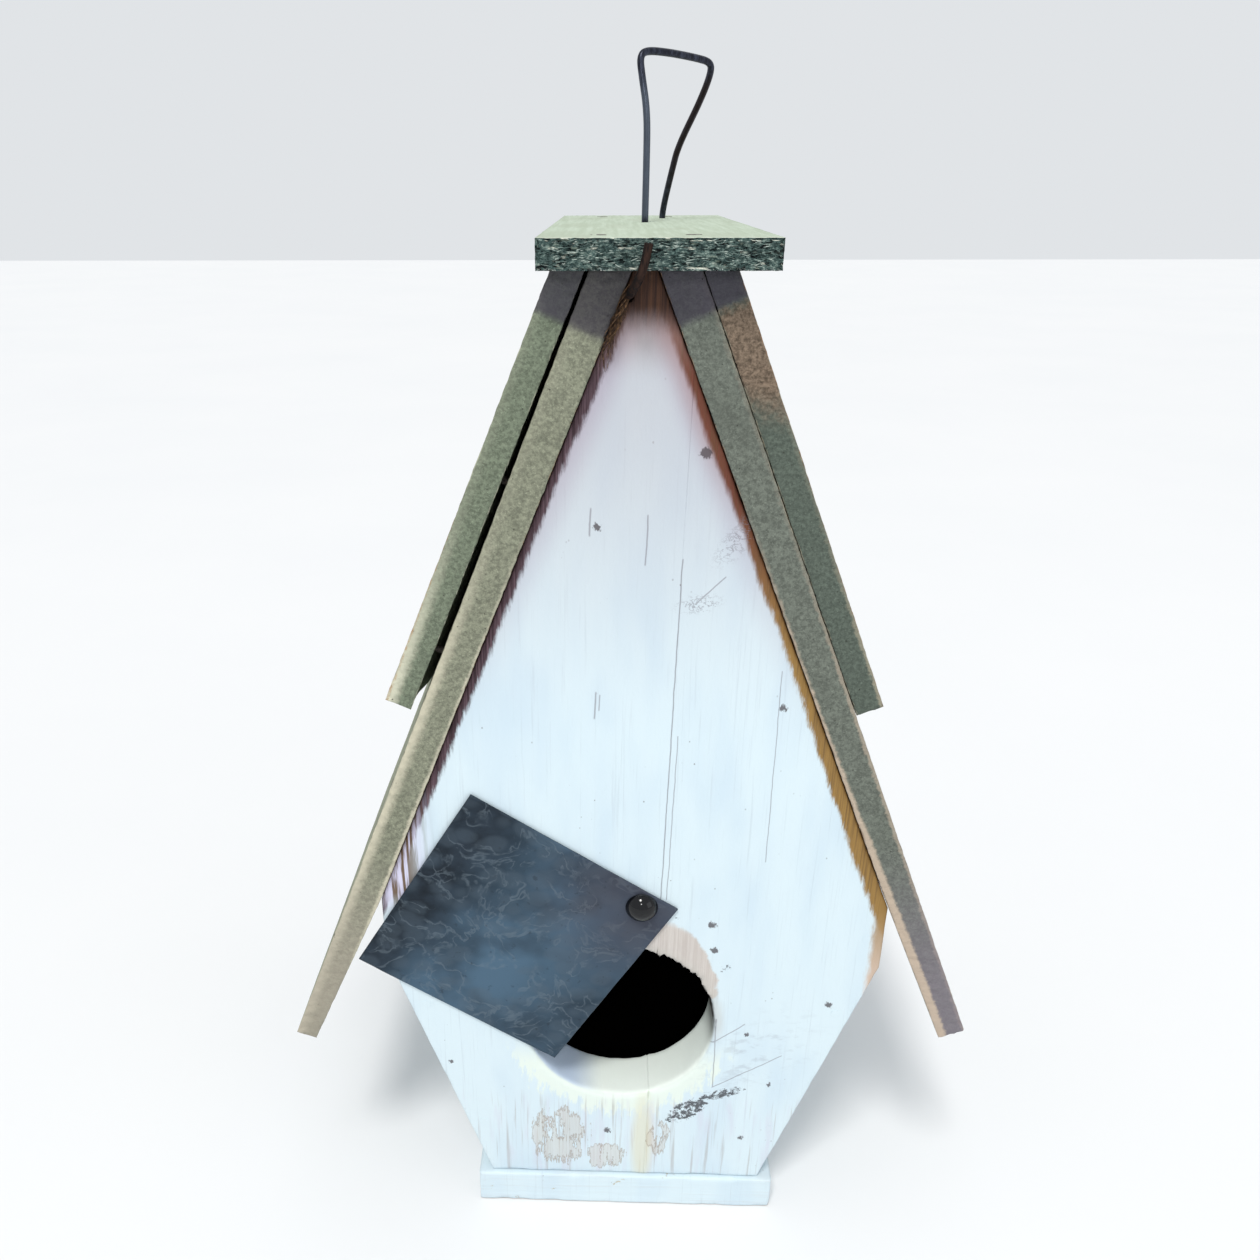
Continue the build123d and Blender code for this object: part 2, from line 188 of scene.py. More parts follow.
def board(name, loops, front_y, back_y, spacing, wear, relief, rows=(1.5 * MM, 6 * MM), seed=1):
    """A board whose outline is seen from the front, with worn edges and a surface with relief.

    wear(points) is the rounding of its edges, and relief(points, normals) moves its surface.
    """
    outer, holes = loops[0], loops[1:]
    rims = [resample(loop, spacing) for loop in loops]
    flat_rims = [drop_straight_points(loop) for loop in loops]
    rng = np.random.default_rng(seed)
    low, high = outer.min(0), outer.max(0)
    xs, zs = np.arange(low[0], high[0], spacing), np.arange(low[1], high[1], spacing * ROW_STEP)
    grid = np.array([(x + (row % 2) * spacing / 2, z) for row, z in enumerate(zs) for x in xs])
    grid += rng.uniform(-0.15, 0.15, grid.shape) * spacing
    insets = []
    for loop in rims:
        along = np.roll(loop, -1, 0) - np.roll(loop, 1, 0)
        across = np.stack([-along[:, 1], along[:, 0]], 1) / np.linalg.norm(along, axis=1)[:, None]
        insets += [loop + side * across * inset for side in (-1, 1) for inset in EDGE_INSETS]
    candidates = np.concatenate([*insets, grid])
    kept = inside(candidates, outer)
    for hole in holes:
        kept &= ~inside(candidates, hole)
    away = distance_to_loops(candidates, flat_rims)
    inset_count = sum(len(i) for i in insets)
    least = np.where(np.arange(len(candidates)) < inset_count, 0.2 * MM, 1.1 * MM)
    flat = np.concatenate([*rims, candidates[kept & (away > least)]])
    edges, start = [], 0
    for rim in rims:
        edges += [(start + i, start + (i + 1) % len(rim)) for i in range(len(rim))]
        start += len(rim)
    corners2, _, faces2, origins, _, _ = delaunay_2d_cdt([Vector(p) for p in flat], edges, [], 0, 1e-7)
    flat = np.array([tuple(p) for p in corners2])
    order = {}
    for new, olds in enumerate(origins):
        for old in olds:
            order[old] = new
    triangles = np.array([f for f in faces2 if len(f) == 3])
    middles = flat[triangles].mean(1)
    solid = inside(middles, outer)
    for hole in holes:
        solid &= ~inside(middles, hole)
    triangles = triangles[solid]
    distance = distance_to_loops(flat, flat_rims)

    def lay(depth, sign):
        """One face of the board, dropped back near its edges."""
        at = np.column_stack([flat[:, 0], np.full(len(flat), depth), flat[:, 1]])
        radius = wear(at)
        reach = np.clip(radius - distance, 0, None)
        at[:, 1] += sign * (radius - np.sqrt(np.clip(radius**2 - reach**2, 0, None)))
        return at

    front, back = lay(front_y, 1), lay(back_y, -1)
    points = [front, back]
    count = len(flat)
    faces = [tuple(t) for t in triangles] + [tuple(count + i for i in t[::-1]) for t in triangles]
    total, start = 2 * count, 0
    for rim in rims:
        ring = [order[start + i] for i in range(len(rim))]
        start += len(rim)
        near, far = front[ring], back[ring]
        shares = stepped(0, back_y - front_y, *rows, margin=8 * MM)[1:-1] / (back_y - front_y)
        previous = ring
        for share in shares:
            points.append(near + (far - near) * share)
            current = list(range(total, total + len(ring)))
            total += len(ring)
            faces += wall(previous, current)
            previous = current
        faces += wall(previous, [count + i for i in ring])
    mesh = bpy.data.meshes.new(name)
    mesh.from_pydata(np.concatenate(points).tolist(), [], faces)
    bm = bmesh.new()
    bm.from_mesh(mesh)
    loose = [v for v in bm.verts if not v.link_faces]
    bmesh.ops.delete(bm, geom=loose, context="VERTS")
    bmesh.ops.recalc_face_normals(bm, faces=bm.faces)
    bm.to_mesh(mesh)
    bm.free()
    push_along_normals(mesh, relief)
    mesh.shade_smooth()
    return link(name, mesh)


def wall(ring, following):
    """Quads between two rings with as many points."""
    size = len(ring)
    return [(ring[i], following[i], following[(i + 1) % size], ring[(i + 1) % size]) for i in range(size)]


def push_along_normals(mesh, relief):
    """Moves the points of a mesh out along their normals by relief(points, normals)."""
    points = read(mesh.vertices, "co")
    normals = read(mesh.vertex_normals, "vector", np.float32).astype(float)
    points += normals * relief(points, normals)[:, None]
    mesh.vertices.foreach_set("co", points.ravel())
    mesh.update()


def link(name, data):
    """An object with this data, in the scene."""
    piece = bpy.data.objects.new(name, data)
    bpy.context.scene.collection.objects.link(piece)
    return piece


def place(piece, body, slot, material, *nodes):
    """The piece rides on a body, takes a material, and stands for CAD nodes; the slot is not used."""
    piece.data.materials.clear()
    piece.data.materials.append(material)
    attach(piece, body)
    if nodes:
        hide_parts(*nodes)


# ---------------------------------------------------------------- fields and materials
class Field:
    """A number that varies over a surface: the output of a shader node, with arithmetic."""

    def __init__(self, graph, socket):
        self.graph, self.socket = graph, socket

    def __add__(self, other):
        return self.graph.math("ADD", self, other)

    def __mul__(self, other):
        return self.graph.math("MULTIPLY", self, other)

    def __sub__(self, other):
        return self.graph.math("SUBTRACT", self, other)

    def __rsub__(self, other):
        return self.graph.math("SUBTRACT", other, self)

    def __truediv__(self, other):
        return self.graph.math("DIVIDE", self, other)

    def __abs__(self):
        return self.graph.math("ABSOLUTE", self)

    __radd__, __rmul__ = __add__, __mul__


class Graph:
    """The nodes of one material. Places and sizes are millimetres in the object's frame."""

    def __init__(self, name, **settings):
        self.material = bpy.data.materials.new(name)
        self.material.use_nodes = True
        self.nodes = self.material.node_tree.nodes
        self.links = self.material.node_tree.links
        self.shader = self.nodes["Principled BSDF"]
        for socket, value in settings.items():
            self.shader.inputs[socket.replace("_", " ")].default_value = value
        metres = self.nodes.new("ShaderNodeTexCoord").outputs["Object"]
        self.place = self.vector("SCALE", metres, scale=1 / MM)
        split = self.node("ShaderNodeSeparateXYZ", {0: self.place})
        self.x, self.y, self.z = [Field(self, output) for output in split.outputs]
        normal = self.nodes.new("ShaderNodeNewGeometry").outputs["True Normal"]
        split = self.node("ShaderNodeSeparateXYZ", {0: self.world_to_object(normal)})
        self.nx, self.ny, self.nz = [Field(self, output) for output in split.outputs]

    def world_to_object(self, socket):
        turn = self.node("ShaderNodeVectorTransform", {0: socket}, vector_type="NORMAL")
        turn.convert_from, turn.convert_to = "WORLD", "OBJECT"
        return turn.outputs[0]

    def node(self, kind, inputs, **settings):
        node = self.nodes.new(kind)
        for key, value in settings.items():
            setattr(node, key, value)
        for key, value in inputs.items():
            value = value.socket if isinstance(value, Field) else value
            if isinstance(value, bpy.types.NodeSocket):
                self.links.new(value, node.inputs[key])
            else:
                node.inputs[key].default_value = value
        return node

    def vector(self, operation, *values, scale=None):
        inputs = dict(enumerate(values))
        if scale is not None:
            inputs["Scale"] = scale
        return self.node("ShaderNodeVectorMath", inputs, operation=operation).outputs[0]

    def math(self, operation, *values):
        node = self.node("ShaderNodeMath", dict(enumerate(values)), operation=operation)
        return Field(self, node.outputs[0])

    def least(self, *fields):
        return reduce(partial(self.math, "MINIMUM"), fields)

    def most(self, *fields):
        return reduce(partial(self.math, "MAXIMUM"), fields)

    def step(self, field, low, high):
        """0 where the field is below low, 1 above high, smooth between; low may be the larger."""
        inputs = {"Value": field, "From Min": low, "From Max": high}
        node = self.node("ShaderNodeMapRange", inputs, interpolation_type="SMOOTHSTEP")
        return Field(self, node.outputs[0])

    def scaled_place(self, size, shift):
        """The place in units of a feature's size, shifted so that each seed has its own pattern."""
        size = (size,) * 3 if isinstance(size, (int, float)) else size
        return self.vector("ADD", self.vector("DIVIDE", self.place, size), shift)

    def noise(self, size, seed, detail=3.0, roughness=0.6):
        """0 to 1, with features of the given size along each axis."""
        place = self.scaled_place(size, (seed * 7.31, seed * 3.7, seed * 5.13))
        inputs = {"Vector": place, "Scale": 1.0, "Detail": detail, "Roughness": roughness}
        return Field(self, self.node("ShaderNodeTexNoise", inputs).outputs[0])

    def cells(self, size, seed):
        """Distance from the nearest of many scattered points, in cells."""
        place = self.scaled_place(size, (seed * 2.7, seed * 4.1, seed * 1.9))
        return Field(self, self.node("ShaderNodeTexVoronoi", {"Vector": place, "Scale": 1.0}).outputs[0])

    def distance(self, x, z):
        """Distance from a point in the front view."""
        dx, dz = self.x - x, self.z - z
        return self.math("SQRT", dx * dx + dz * dz)

    def spot(self, x, z, radius_x, radius_z=None, tilt=0.0, edge=0.3):
        """1 inside an ellipse in the front view, 0 outside."""
        radius_z = radius_z or radius_x
        a = radians(tilt)
        dx, dz = self.x - x, self.z - z
        u = (dx * cos(a) + dz * sin(a)) / radius_x
        v = (dz * cos(a) - dx * sin(a)) / radius_z
        return self.step(self.math("SQRT", u * u + v * v), 1.0 + edge, 1.0 - edge)

    def line(self, start, end, width, wobble):
        """1 along a stroke between two points in the front view."""
        length = hypot(end[0] - start[0], end[1] - start[1])
        ux, uz = (end[0] - start[0]) / length, (end[1] - start[1]) / length
        dx, dz = self.x - start[0], self.z - start[1]
        along, across = dx * ux + dz * uz, dx * uz - dz * ux + wobble
        fade = self.step(self.least(along, length - along), -0.5 * width, 1.5 * width)
        return self.step(abs(across), width, 0.3 * width) * fade

    def lay(self, share, over):
        """Lays a colour on the material's own as far as share says."""
        self.colour = self.mix(share, self.colour, over)

    def mix(self, share, under, over):
        """The colour `over` laid on `under` as far as share says."""
        share = share.socket if isinstance(share, Field) else share
        inputs = {0: share, 6: rgb(under), 7: rgb(over)}
        return self.node("ShaderNodeMix", inputs, data_type="RGBA").outputs[2]

    def ramp(self, field, *stops):
        """A colour that changes with the field, from (place, colour) stops."""
        node = self.node("ShaderNodeValToRGB", {0: field})
        elements = node.color_ramp.elements
        while len(elements) < len(stops):
            elements.new(1.0)
        for element, (place, colour) in zip(elements, stops):
            element.position, element.color = place, rgb(colour)
        return node.outputs[0]

    def finish(self, roughness, height):
        """Connects the colour, the roughness and a height in millimetres, and returns the material."""
        self.links.new(self.colour, self.shader.inputs["Base Color"])
        self.links.new(roughness.socket, self.shader.inputs["Roughness"])
        bump = self.node("ShaderNodeBump", {"Height": height, "Distance": MM, "Strength": 1.0})
        self.links.new(bump.outputs[0], self.shader.inputs["Normal"])
        return self.material


def rgb(colour):
    """Linear colour from red, green and blue on the usual 0 to 255 scale; sockets pass through."""
    if isinstance(colour, bpy.types.NodeSocket):
        return colour
    shares = [c / 255 for c in colour]
    return tuple(c / 12.92 if c < 0.04045 else ((c + 0.055) / 1.055) ** 2.4 for c in shares) + (1.0,)


# ---------------------------------------------------------------- lines of the house, from the frame
roof_front_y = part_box("roof_lower_left")[0].y
roof_back_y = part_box("roof_lower_left")[1].y
front_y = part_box("front_board_left")[0].y
front_inner_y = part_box("front_board_left")[1].y
floor_top_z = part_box("floor_board")[1].z
taper_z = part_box("side_wall_left")[1].z
cap_low, cap_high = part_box("ridge_cap")
SIDES = {"left": -1, "right": 1}
plank_loops = {side: face_loops(f"front_board_{side}", front_inner_y) for side in SIDES}


def slope_corners(side):
    """The top and foot of a roof slope's inner face: (x, z) points on the end board's outline."""
    sign = SIDES[side]
    top = max(plank_loops["left"][0], key=lambda p: (round(p[1], 5), sign * p[0]))
    eave = max(plank_loops[side][0], key=lambda p: (round(sign * p[0], 5), p[1]))
    return top, eave


slope_tops = {side: slope_corners(side)[0] for side in SIDES}
eaves = {side: slope_corners(side)[1] for side in SIDES}
slope_angles = {
    side: atan2(abs(eaves[side][0] - slope_tops[side][0]), slope_tops[side][1] - eaves[side][1])
    for side in SIDES
}


def fit_circle(points):
    """Centre and radius of the circle through the points."""
    rows = np.column_stack([2 * points, np.ones(len(points))])
    x, z, rest = np.linalg.lstsq(rows, (points**2).sum(1), rcond=None)[0]
    return np.array([x, z]), (rest + x * x + z * z) ** 0.5


def entrance():
    """Centre and radius of the entrance, from the arc that it leaves in the right plank."""
    plate_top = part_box("cover_plate")[1].z
    loop = plank_loops["right"][0]
    seam_side = loop[loop[:, 0] < eaves["right"][0] * 0.6]
    arc = seam_side[(seam_side[:, 1] > floor_top_z + 30 * MM) & (seam_side[:, 1] < plate_top)]
    upwards = arc[np.argsort(arc[:, 1])]
    return fit_circle(upwards[1:-1])


hole_centre, hole_radius = entrance()
pivot = Vector(next(j for j in frame["joints"] if j["child"] == "cover_plate")["pos_m"])


def roof_distance(g, side):
    """Distance of a point of an end board from the roof slope, in the nodes of a material."""
    a, top = slope_angles[side], slope_tops[side] / MM
    return (g.x - top[0]) * (-SIDES[side] * cos(a)) - (g.z - top[1]) * sin(a)


def roof_frame(g, side):
    """Distance down the slope below the cap, and out from the slope's inner face."""
    a, top = slope_angles[side], slope_tops[side] / MM
    x, z = (g.x - top[0]) * SIDES[side], g.z - top[1]
    return x * sin(a) - z * cos(a), x * cos(a) + z * sin(a)


def facing_share(g):
    """1 on the front and back faces of a board, 0 on its other faces."""
    return g.step(abs(g.ny), 0.35, 0.75)


seam_low = max(plank_loops["left"][0], key=lambda p: (-round(p[1], 5), p[0]))
seam_high = max(plank_loops["right"][0], key=lambda p: p[1])
SEAM_LEAN = (seam_high[0] - seam_low[0]) / (seam_high[1] - seam_low[1])


# ---------------------------------------------------------------- materials
PAINT = (207, 222, 228)
PAINT_COOL = (197, 214, 224)
# The top's lavender grey is partly painted shade of the cap.
TOP_TINT_AND_SHADE = (176, 174, 180)
CREAM = (222, 231, 220)
LOWER_THICKNESS, UPPER_THICKNESS = 11.0, 9.0  # of the roof boards, in millimetres
# Bare wood at the apex, made darker as painted shade of the cap.
APEX_WOOD_AND_SHADE = (52, 34, 28)
BARE_RED = (108, 62, 48)
BARE_GOLD = (150, 118, 66)
BARE_TAN = (184, 166, 142)


def paint(g, seed):
    """Old white paint, with fine upright grain showing through it. Returns the grain."""
    grain = g.noise((0.9, 5, 38), seed, 4.0)
    broad = g.noise((18, 30, 60), seed + 1, 2.0)
    g.colour = g.mix(g.step(broad, 0.35, 0.75), PAINT, PAINT_COOL)
    g.lay(g.step(grain, 0.56, 0.74) * 0.35, (180, 192, 200))
    specks = g.step(g.cells((3.1, 3.1, 4.2), seed + 2), 0.11, 0.06) * g.step(g.noise(14, seed + 3), 0.55, 0.7)
    g.lay(specks * 0.75, (92, 84, 78))
    return grain


def end_board_material(name, seed, front):
    """White paint, worn off along the roof and at the apex; darker towards the top and at the apex, partly as
    painted shade of the cap.
    """
    g = Graph(name, Specular_IOR_Level=0.35)
    grain = paint(g, seed)
    feather = (g.noise((0.8, 4, 4.5), seed + 4, 5.0, 0.7) - 0.5) * 4.6
    blotch = g.noise((5, 9, 16), seed + 5, 3.0)
    near_left, near_right = roof_distance(g, "left"), roof_distance(g, "right")
    below_apex = slope_tops["left"][1] / MM - g.z
    wood_grain = g.noise((0.7, 4, 30), seed + 6, 5.0)

    # Partly painted shade of the cap: the paint turns lavender grey towards the top, and mauve along the roof
    # there.
    high = g.step(below_apex, 150, 15)
    g.lay(high * 0.75, TOP_TINT_AND_SHADE)
    g.lay(g.step(g.least(near_left, near_right), 12, 2) * high * 0.5, (150, 128, 150))

    left_wood = g.mix(g.step(wood_grain, 0.4, 0.65), (58, 42, 48), (96, 76, 84))
    left_width = 1.3 + blotch * 2.6 + g.step(below_apex, 60, 0) * 0.6
    left_bare = g.step(near_left + feather * 0.75, left_width + 1.2, left_width - 0.6)
    g.lay(left_bare, left_wood)

    right_low = g.step(below_apex, 60, 120)
    right_wood = g.mix(right_low, BARE_RED, BARE_GOLD)
    right_wood = g.mix(g.step(wood_grain, 0.42, 0.7) * 0.55, right_wood, (92, 70, 46))
    right_width = 1.0 + blotch * 3.0 + g.step(below_apex, 90, 200) * 2.4
    right_feather = feather * (right_low * 0.6 + 0.25)
    right_bare = g.step(near_right + right_feather, right_width + 1.4, right_width - 0.5)
    flush = g.step(near_right, 9, 1) * g.step(below_apex, 75, 40)
    g.lay(flush * 0.5, (150, 112, 104))
    g.lay(right_bare, right_wood)

    # Bare wood with painted shade of the cap: pinkish brown below the apex, then dark brown at it.
    apex_tint_and_shade = g.step(below_apex + feather * 0.4, 30, 12)
    g.lay(apex_tint_and_shade * 0.6, (150, 122, 116))
    apex = g.step(below_apex + feather * 0.6, 18, 9)
    g.lay(apex, g.mix(g.step(wood_grain, 0.4, 0.7), APEX_WOOD_AND_SHADE, (84, 56, 40)))

    edge_bare = g.most(left_bare, right_bare, apex)
    if front:
        edge_bare = g.most(edge_bare, front_marks(g, wood_grain, feather, seed))
    else:
        patches = g.step(g.noise((7, 9, 26), seed + 9, 3.0), 0.63, 0.7) * g.step(g.z, 110, 40)
        g.lay(patches * 0.8, BARE_TAN)
        edge_bare = g.most(edge_bare, patches)
    rough = 0.5 + edge_bare * 0.3 + grain * 0.12
    height = grain * 0.10 + wood_grain * edge_bare * 0.35 - edge_bare * 0.15
    return g.finish(rough, height)


def seam_at(z, beside=0.0):
    """A point on the front's seam at height z, in millimetres."""
    return seam_low[0] / MM + SEAM_LEAN * (z - seam_low[1] / MM) + beside, z


def front_marks(g, wood_grain, feather, seed):
    """Peeled patches, scratches and scuffs on the front. Returns where the wood is bare."""
    cx, cz = hole_centre / MM
    r = hole_radius / MM
    dx, dz = g.x - cx, g.z - cz
    radius = g.distance(cx, cz)
    wedge = g.spot(cx + 0.62 * r, cz + 0.84 * r, 0.62 * r, 0.28 * r, tilt=-62, edge=0.35)
    ragged_wedge = wedge + (g.noise((3, 6, 4), seed + 20, 4.0) - 0.5) * 0.9
    torn = g.step(radius + feather * 0.4, r * 1.50, r * 1.38) * g.step(ragged_wedge, 0.3, 0.6)
    torn_colour = g.mix(g.step(wood_grain, 0.3, 0.75), (204, 192, 182), (182, 166, 154))
    g.lay(torn * 0.8, torn_colour)
    lip = g.step(radius + feather * 0.5, r * 1.16, r * 1.05) * g.step(dz + dx * 0.4, 0.05 * r, 0.5 * r)
    g.lay(lip * 0.45, (186, 184, 176))

    drips = (g.noise((2.6, 6, 9), seed + 10, 4.0) - 0.5) * 26
    low_rim = g.step(dz, -0.2 * r, -0.6 * r) * g.step(radius + drips, r * 1.30, r * 1.18)
    g.lay(low_rim * 0.85, CREAM)

    below = g.step(dz + drips * 0.4, -0.95 * r, -1.2 * r)
    plank_lines = g.step(g.noise((1.9, 8, 60), seed + 11, 4.0), 0.54, 0.68) * below
    g.lay(plank_lines * 0.55, (164, 160, 158))
    lilac = g.step(g.noise((5, 8, 40), seed + 18, 2.0), 0.5, 0.7) * below
    g.lay(lilac * 0.35, (196, 192, 208))
    peel_noise = g.noise((4.0, 8, 12), seed + 12, 5.0, 0.65) + (wood_grain - 0.5) * 0.3
    left_patch = g.spot(cx - 23, cz - 57, 15, 21, edge=0.5)
    arch_patch = g.spot(cx - 5, cz - 68, 11, 9, edge=0.5)
    cream_strip = g.spot(cx + 10, cz - 60, 4.0, 24, edge=0.5)
    beside_strip = g.spot(cx + 16, cz - 57, 6, 13, edge=0.6)
    patches = g.most(left_patch, arch_patch, beside_strip)
    peeled = g.step(peel_noise * patches, 0.45, 0.53)
    g.lay(cream_strip * 0.6, (212, 206, 176))
    bare = g.mix(g.step(wood_grain, 0.3, 0.75), (188, 174, 156), (206, 200, 190))
    outline = g.step(abs(peel_noise * patches - 0.47), 0.034, 0.010) * patches
    g.lay(outline * 0.7, (146, 128, 110))
    g.lay(peeled * 0.4, bare)

    scuff_areas = g.most(g.spot(cx + 27, cz - 42, 13, 6, tilt=38, edge=0.6),
                         g.spot(cx + 40, cz - 33, 13, 3.5, tilt=16, edge=0.7),
                         g.spot(cx + 17, cz + 52, 9, 4, tilt=-20, edge=0.8) * 0.8,
                         g.spot(cx + 38, cz + 28, 5, 5, edge=0.8) * 0.8)
    scuff = g.step(g.noise((1.9, 4, 1.5), seed + 13, 5.0, 0.75) * scuff_areas, 0.43, 0.51)
    g.lay(scuff * 0.9, (48, 46, 52))
    smudge_area = g.spot(cx + 52, cz - 12, 22, 13, tilt=35, edge=0.8)
    smudge = g.step(g.noise((6, 8, 3), seed + 19, 4.0), 0.5, 0.7) * smudge_area
    g.lay(smudge * 0.35, (150, 158, 168))

    tangle_area = g.most(g.spot(cx + 33, cz + 190, 10, 3.5, tilt=52, edge=0.6),
                         g.spot(cx + 21, cz + 168, 6, 2.5, tilt=10, edge=0.6))
    tangle = g.step(abs(g.noise((2.4, 4, 1.8), seed + 14, 4.0) - 0.5), 0.034, 0.012) * tangle_area
    scratches = [
        ((cx + 4.5, cz + 196), (cx + 4.2, cz + 180), 0.35),
        ((cx - 12.5, cz + 198), (cx - 13.0, cz + 189), 0.4),
        ((cx - 10.5, cz + 138), (cx - 10.8, cz + 128), 0.4),
        ((cx - 9.2, cz + 137), (cx - 9.4, cz + 131), 0.3),
        ((cx + 20, cz + 168), (cx + 29, cz + 177), 0.3),
        ((cx + 33, cz + 210), (cx + 37, cz + 214), 0.35),
        ((cx + 22, cz - 18), (cx + 47, cz + 2), 0.3),
        ((cx + 36, cz - 30), (cx + 62, cz - 13), 0.3),
        ((cx + 48.5, cz + 146), (cx + 48.9, cz + 74), 0.22),
        (seam_at(275), seam_at(150), 0.3),
        (seam_at(215, 2.2), seam_at(150, 2.0), 0.25),
        ((cx + 36, cz + 4), (cx + 36.5, cz - 30), 0.3),
    ]
    wobble = (g.noise(9, seed + 15) - 0.5) * 0.8
    marks = [g.line(start, end, width, wobble) for start, end, width in scratches]
    pits = [(-10.5, 192, 1.2), (20.7, 214, 1.7), (50, 133, 1.1), (-4, -54, 1.3), (48, -3, 0.9),
            (58, -28, 1.0), (77, 12, 1.3), (49, -56, 0.9), (32, 47, 1.4), (33.5, 36, 1.3), (-65, -20, 0.8)]
    ragged = (g.noise((1.1, 2, 1.5), seed + 16, 5.0, 0.75) - 0.5) * 5.0
    dots = [g.step(g.distance(cx + x, cz + z) + ragged, size * 1.2, size * 0.7) for x, z, size in pits]
    lines = g.most(tangle, *marks)
    g.lay(lines * 0.6, (120, 116, 124))
    g.lay(g.most(*dots) * 0.85, (66, 56, 60))

    eave_x, eave_z = eaves["left"] / MM
    corner = g.step(g.x, eave_x + 22, eave_x + 8) * g.step(abs(g.z - (eave_z + 26)), 34, 22)
    stripes = g.step(g.noise((1.5, 6, 26), seed + 17, 3.0), 0.42, 0.56)
    g.lay(corner, g.mix(stripes, (104, 84, 66), (206, 204, 226)))

    eave_x = eaves["right"][0] / MM
    right_edge = g.step(g.x + feather * 0.9, eave_x - 5.5, eave_x - 2.5) * g.step(g.z, 60, 100)
    g.lay(right_edge * 0.9, g.mix(g.step(g.z, 108, 150), (206, 180, 160), BARE_GOLD))
    # The entrance's inner wall is painted light and shade: pale below, dark above, with the cover plate's
    # bluish painted shadow on its left.
    wall = g.step(radius, r + 0.9, r + 0.1)
    rim_light = g.step(dz, 0.1 * r, -0.4 * r)
    wall_colour = g.mix(rim_light, (52, 48, 42), (240, 248, 240))
    plate_shadow_share = g.step(dx + dz * 0.2, -0.35 * r, -0.75 * r)
    wall_colour = g.mix(plate_shadow_share * 0.6, wall_colour, (150, 176, 222))
    g.lay(wall, wall_colour)
    return g.most(torn, peeled, lines * 0.6, right_edge)


def roof_material(name, seed, side, face, outer, worn, thickness, bare_patch=False):
    """A weathered sage-grey board: `face` on its end, `outer` outside, `worn` along its edges."""
    g = Graph(name, Specular_IOR_Level=0.2)
    along, out = roof_frame(g, side)
    facing = facing_share(g)
    brush = g.noise((1.2, 3, 1.1), seed, 6.0, 0.72)
    fine = g.noise(0.55, seed + 1, 3.0, 0.7)
    blotch = g.noise((16, 22, 26), seed + 2, 4.0)
    lengthwise = g.noise((2.2, 34, 2.2), seed + 3, 5.0, 0.65)
    dark = tuple(c * 0.76 for c in face)
    light = tuple(min(255, c * 1.22 + 8) for c in face)
    g.colour = g.mix(g.step(brush, 0.36, 0.66), dark, face)
    g.lay(g.step(fine, 0.55, 0.75) * 0.6, light)
    outside = g.mix(g.step(lengthwise, 0.3, 0.72), tuple(c * 0.8 for c in outer), outer)
    outside = g.mix(g.step(blotch, 0.42, 0.7) * 0.7, outside, tuple(c * 0.74 for c in outer))
    lichen = g.step(g.noise((11, 11, 11), seed + 6, 5.0, 0.7), 0.60, 0.68)
    outside = g.mix(lichen * 0.45, outside, (190, 196, 168))
    end_wear = g.step(abs(g.y) + (brush - 0.5) * 9, roof_back_y / MM - 5, roof_back_y / MM - 1)
    outside = g.mix(end_wear * 0.5, outside, worn)
    g.colour = g.mix(facing, outside, g.colour)
    g.lay(g.step(blotch, 0.55, 0.7) * facing * 0.35, dark)

    ragged = (g.noise((2.2, 3, 2.2), seed + 4, 4.0, 0.7) - 0.5) * 3.2
    band = 4.6 if side == "left" else 1.6
    near_outer = g.step(out + ragged, thickness - band, thickness - 0.7)
    lower = g.step(along, 70, 150)
    strength = 0.75 if side == "left" else 0.35
    g.lay(near_outer * facing * (lower * strength + 0.1), worn)
    # Painted shadow of the cap: a dark purple-grey band across the top of each board.
    shade_end = 20 if side == "left" else 16
    cap_shadow_share = g.step(along + ragged * 0.5, shade_end + 1.5, shade_end - 1.5)
    g.lay(cap_shadow_share * 0.8, g.mix(blotch, (46, 42, 52), (84, 78, 92)))
    if bare_patch:
        area = g.step(along + ragged * 2, 15, 19) * g.step(along + ragged * 4 - out * 0.8, 42, 26)
        bare = g.mix(g.step(brush, 0.35, 0.65), (84, 70, 58), (142, 122, 104))
        g.lay(area * facing * 0.9, bare)
    pits = g.step(g.cells((2.6, 6, 2.6), seed + 5), 0.12, 0.05) * g.step(fine, 0.45, 0.6)
    g.lay(pits * 0.6, (58, 54, 48))
    rough = 0.86 + fine * 0.1
    height = brush * 0.42 + fine * 0.16 + lengthwise * 0.22 - pits * 0.3
    return g, rough, height, along, out, facing, ragged


def upper_roof_material(side, seed, face, outer, worn, base, thickness, bare_patch):
    """An upper board lies on the lower one, so its distances start at that one's outer face."""
    top = base + thickness
    g, rough, height, _, out, facing, ragged = roof_material(
        f"roof_upper_{side}", seed, side, face, outer, worn, top, bare_patch)
    rim = g.step(out, top - 0.5, top) * facing * g.step(ragged, -0.4, 0.5)
    g.lay(rim * 0.7, (168, 120, 76))
    return g.finish(rough, height)


def lower_roof_material(side, seed, face, outer, worn, thickness, inner_stripe, foot):
    """A lower board has a worn stripe along its inner edge, and its overhanging foot has its own colour."""
    g, rough, height, along, out, facing, ragged = roof_material(
        f"roof_lower_{side}", seed, side, face, outer, worn, thickness)
    g.lay(g.step(along, 190, 270) * facing * 0.7, foot)
    stripe_width = g.step(along, 120, 285) * inner_stripe + 0.5
    stripe = g.step(out + ragged * 0.8, stripe_width + 0.9, stripe_width - 0.5) * g.step(along, 60, 130)
    g.lay(stripe * facing * 0.85, worn)
    inner_face = g.step(out, 0.5, 0.1) * g.step(facing, 0.6, 0.2)
    g.lay(inner_face * 0.8, (134, 98, 66))
    return g.finish(rough, height)


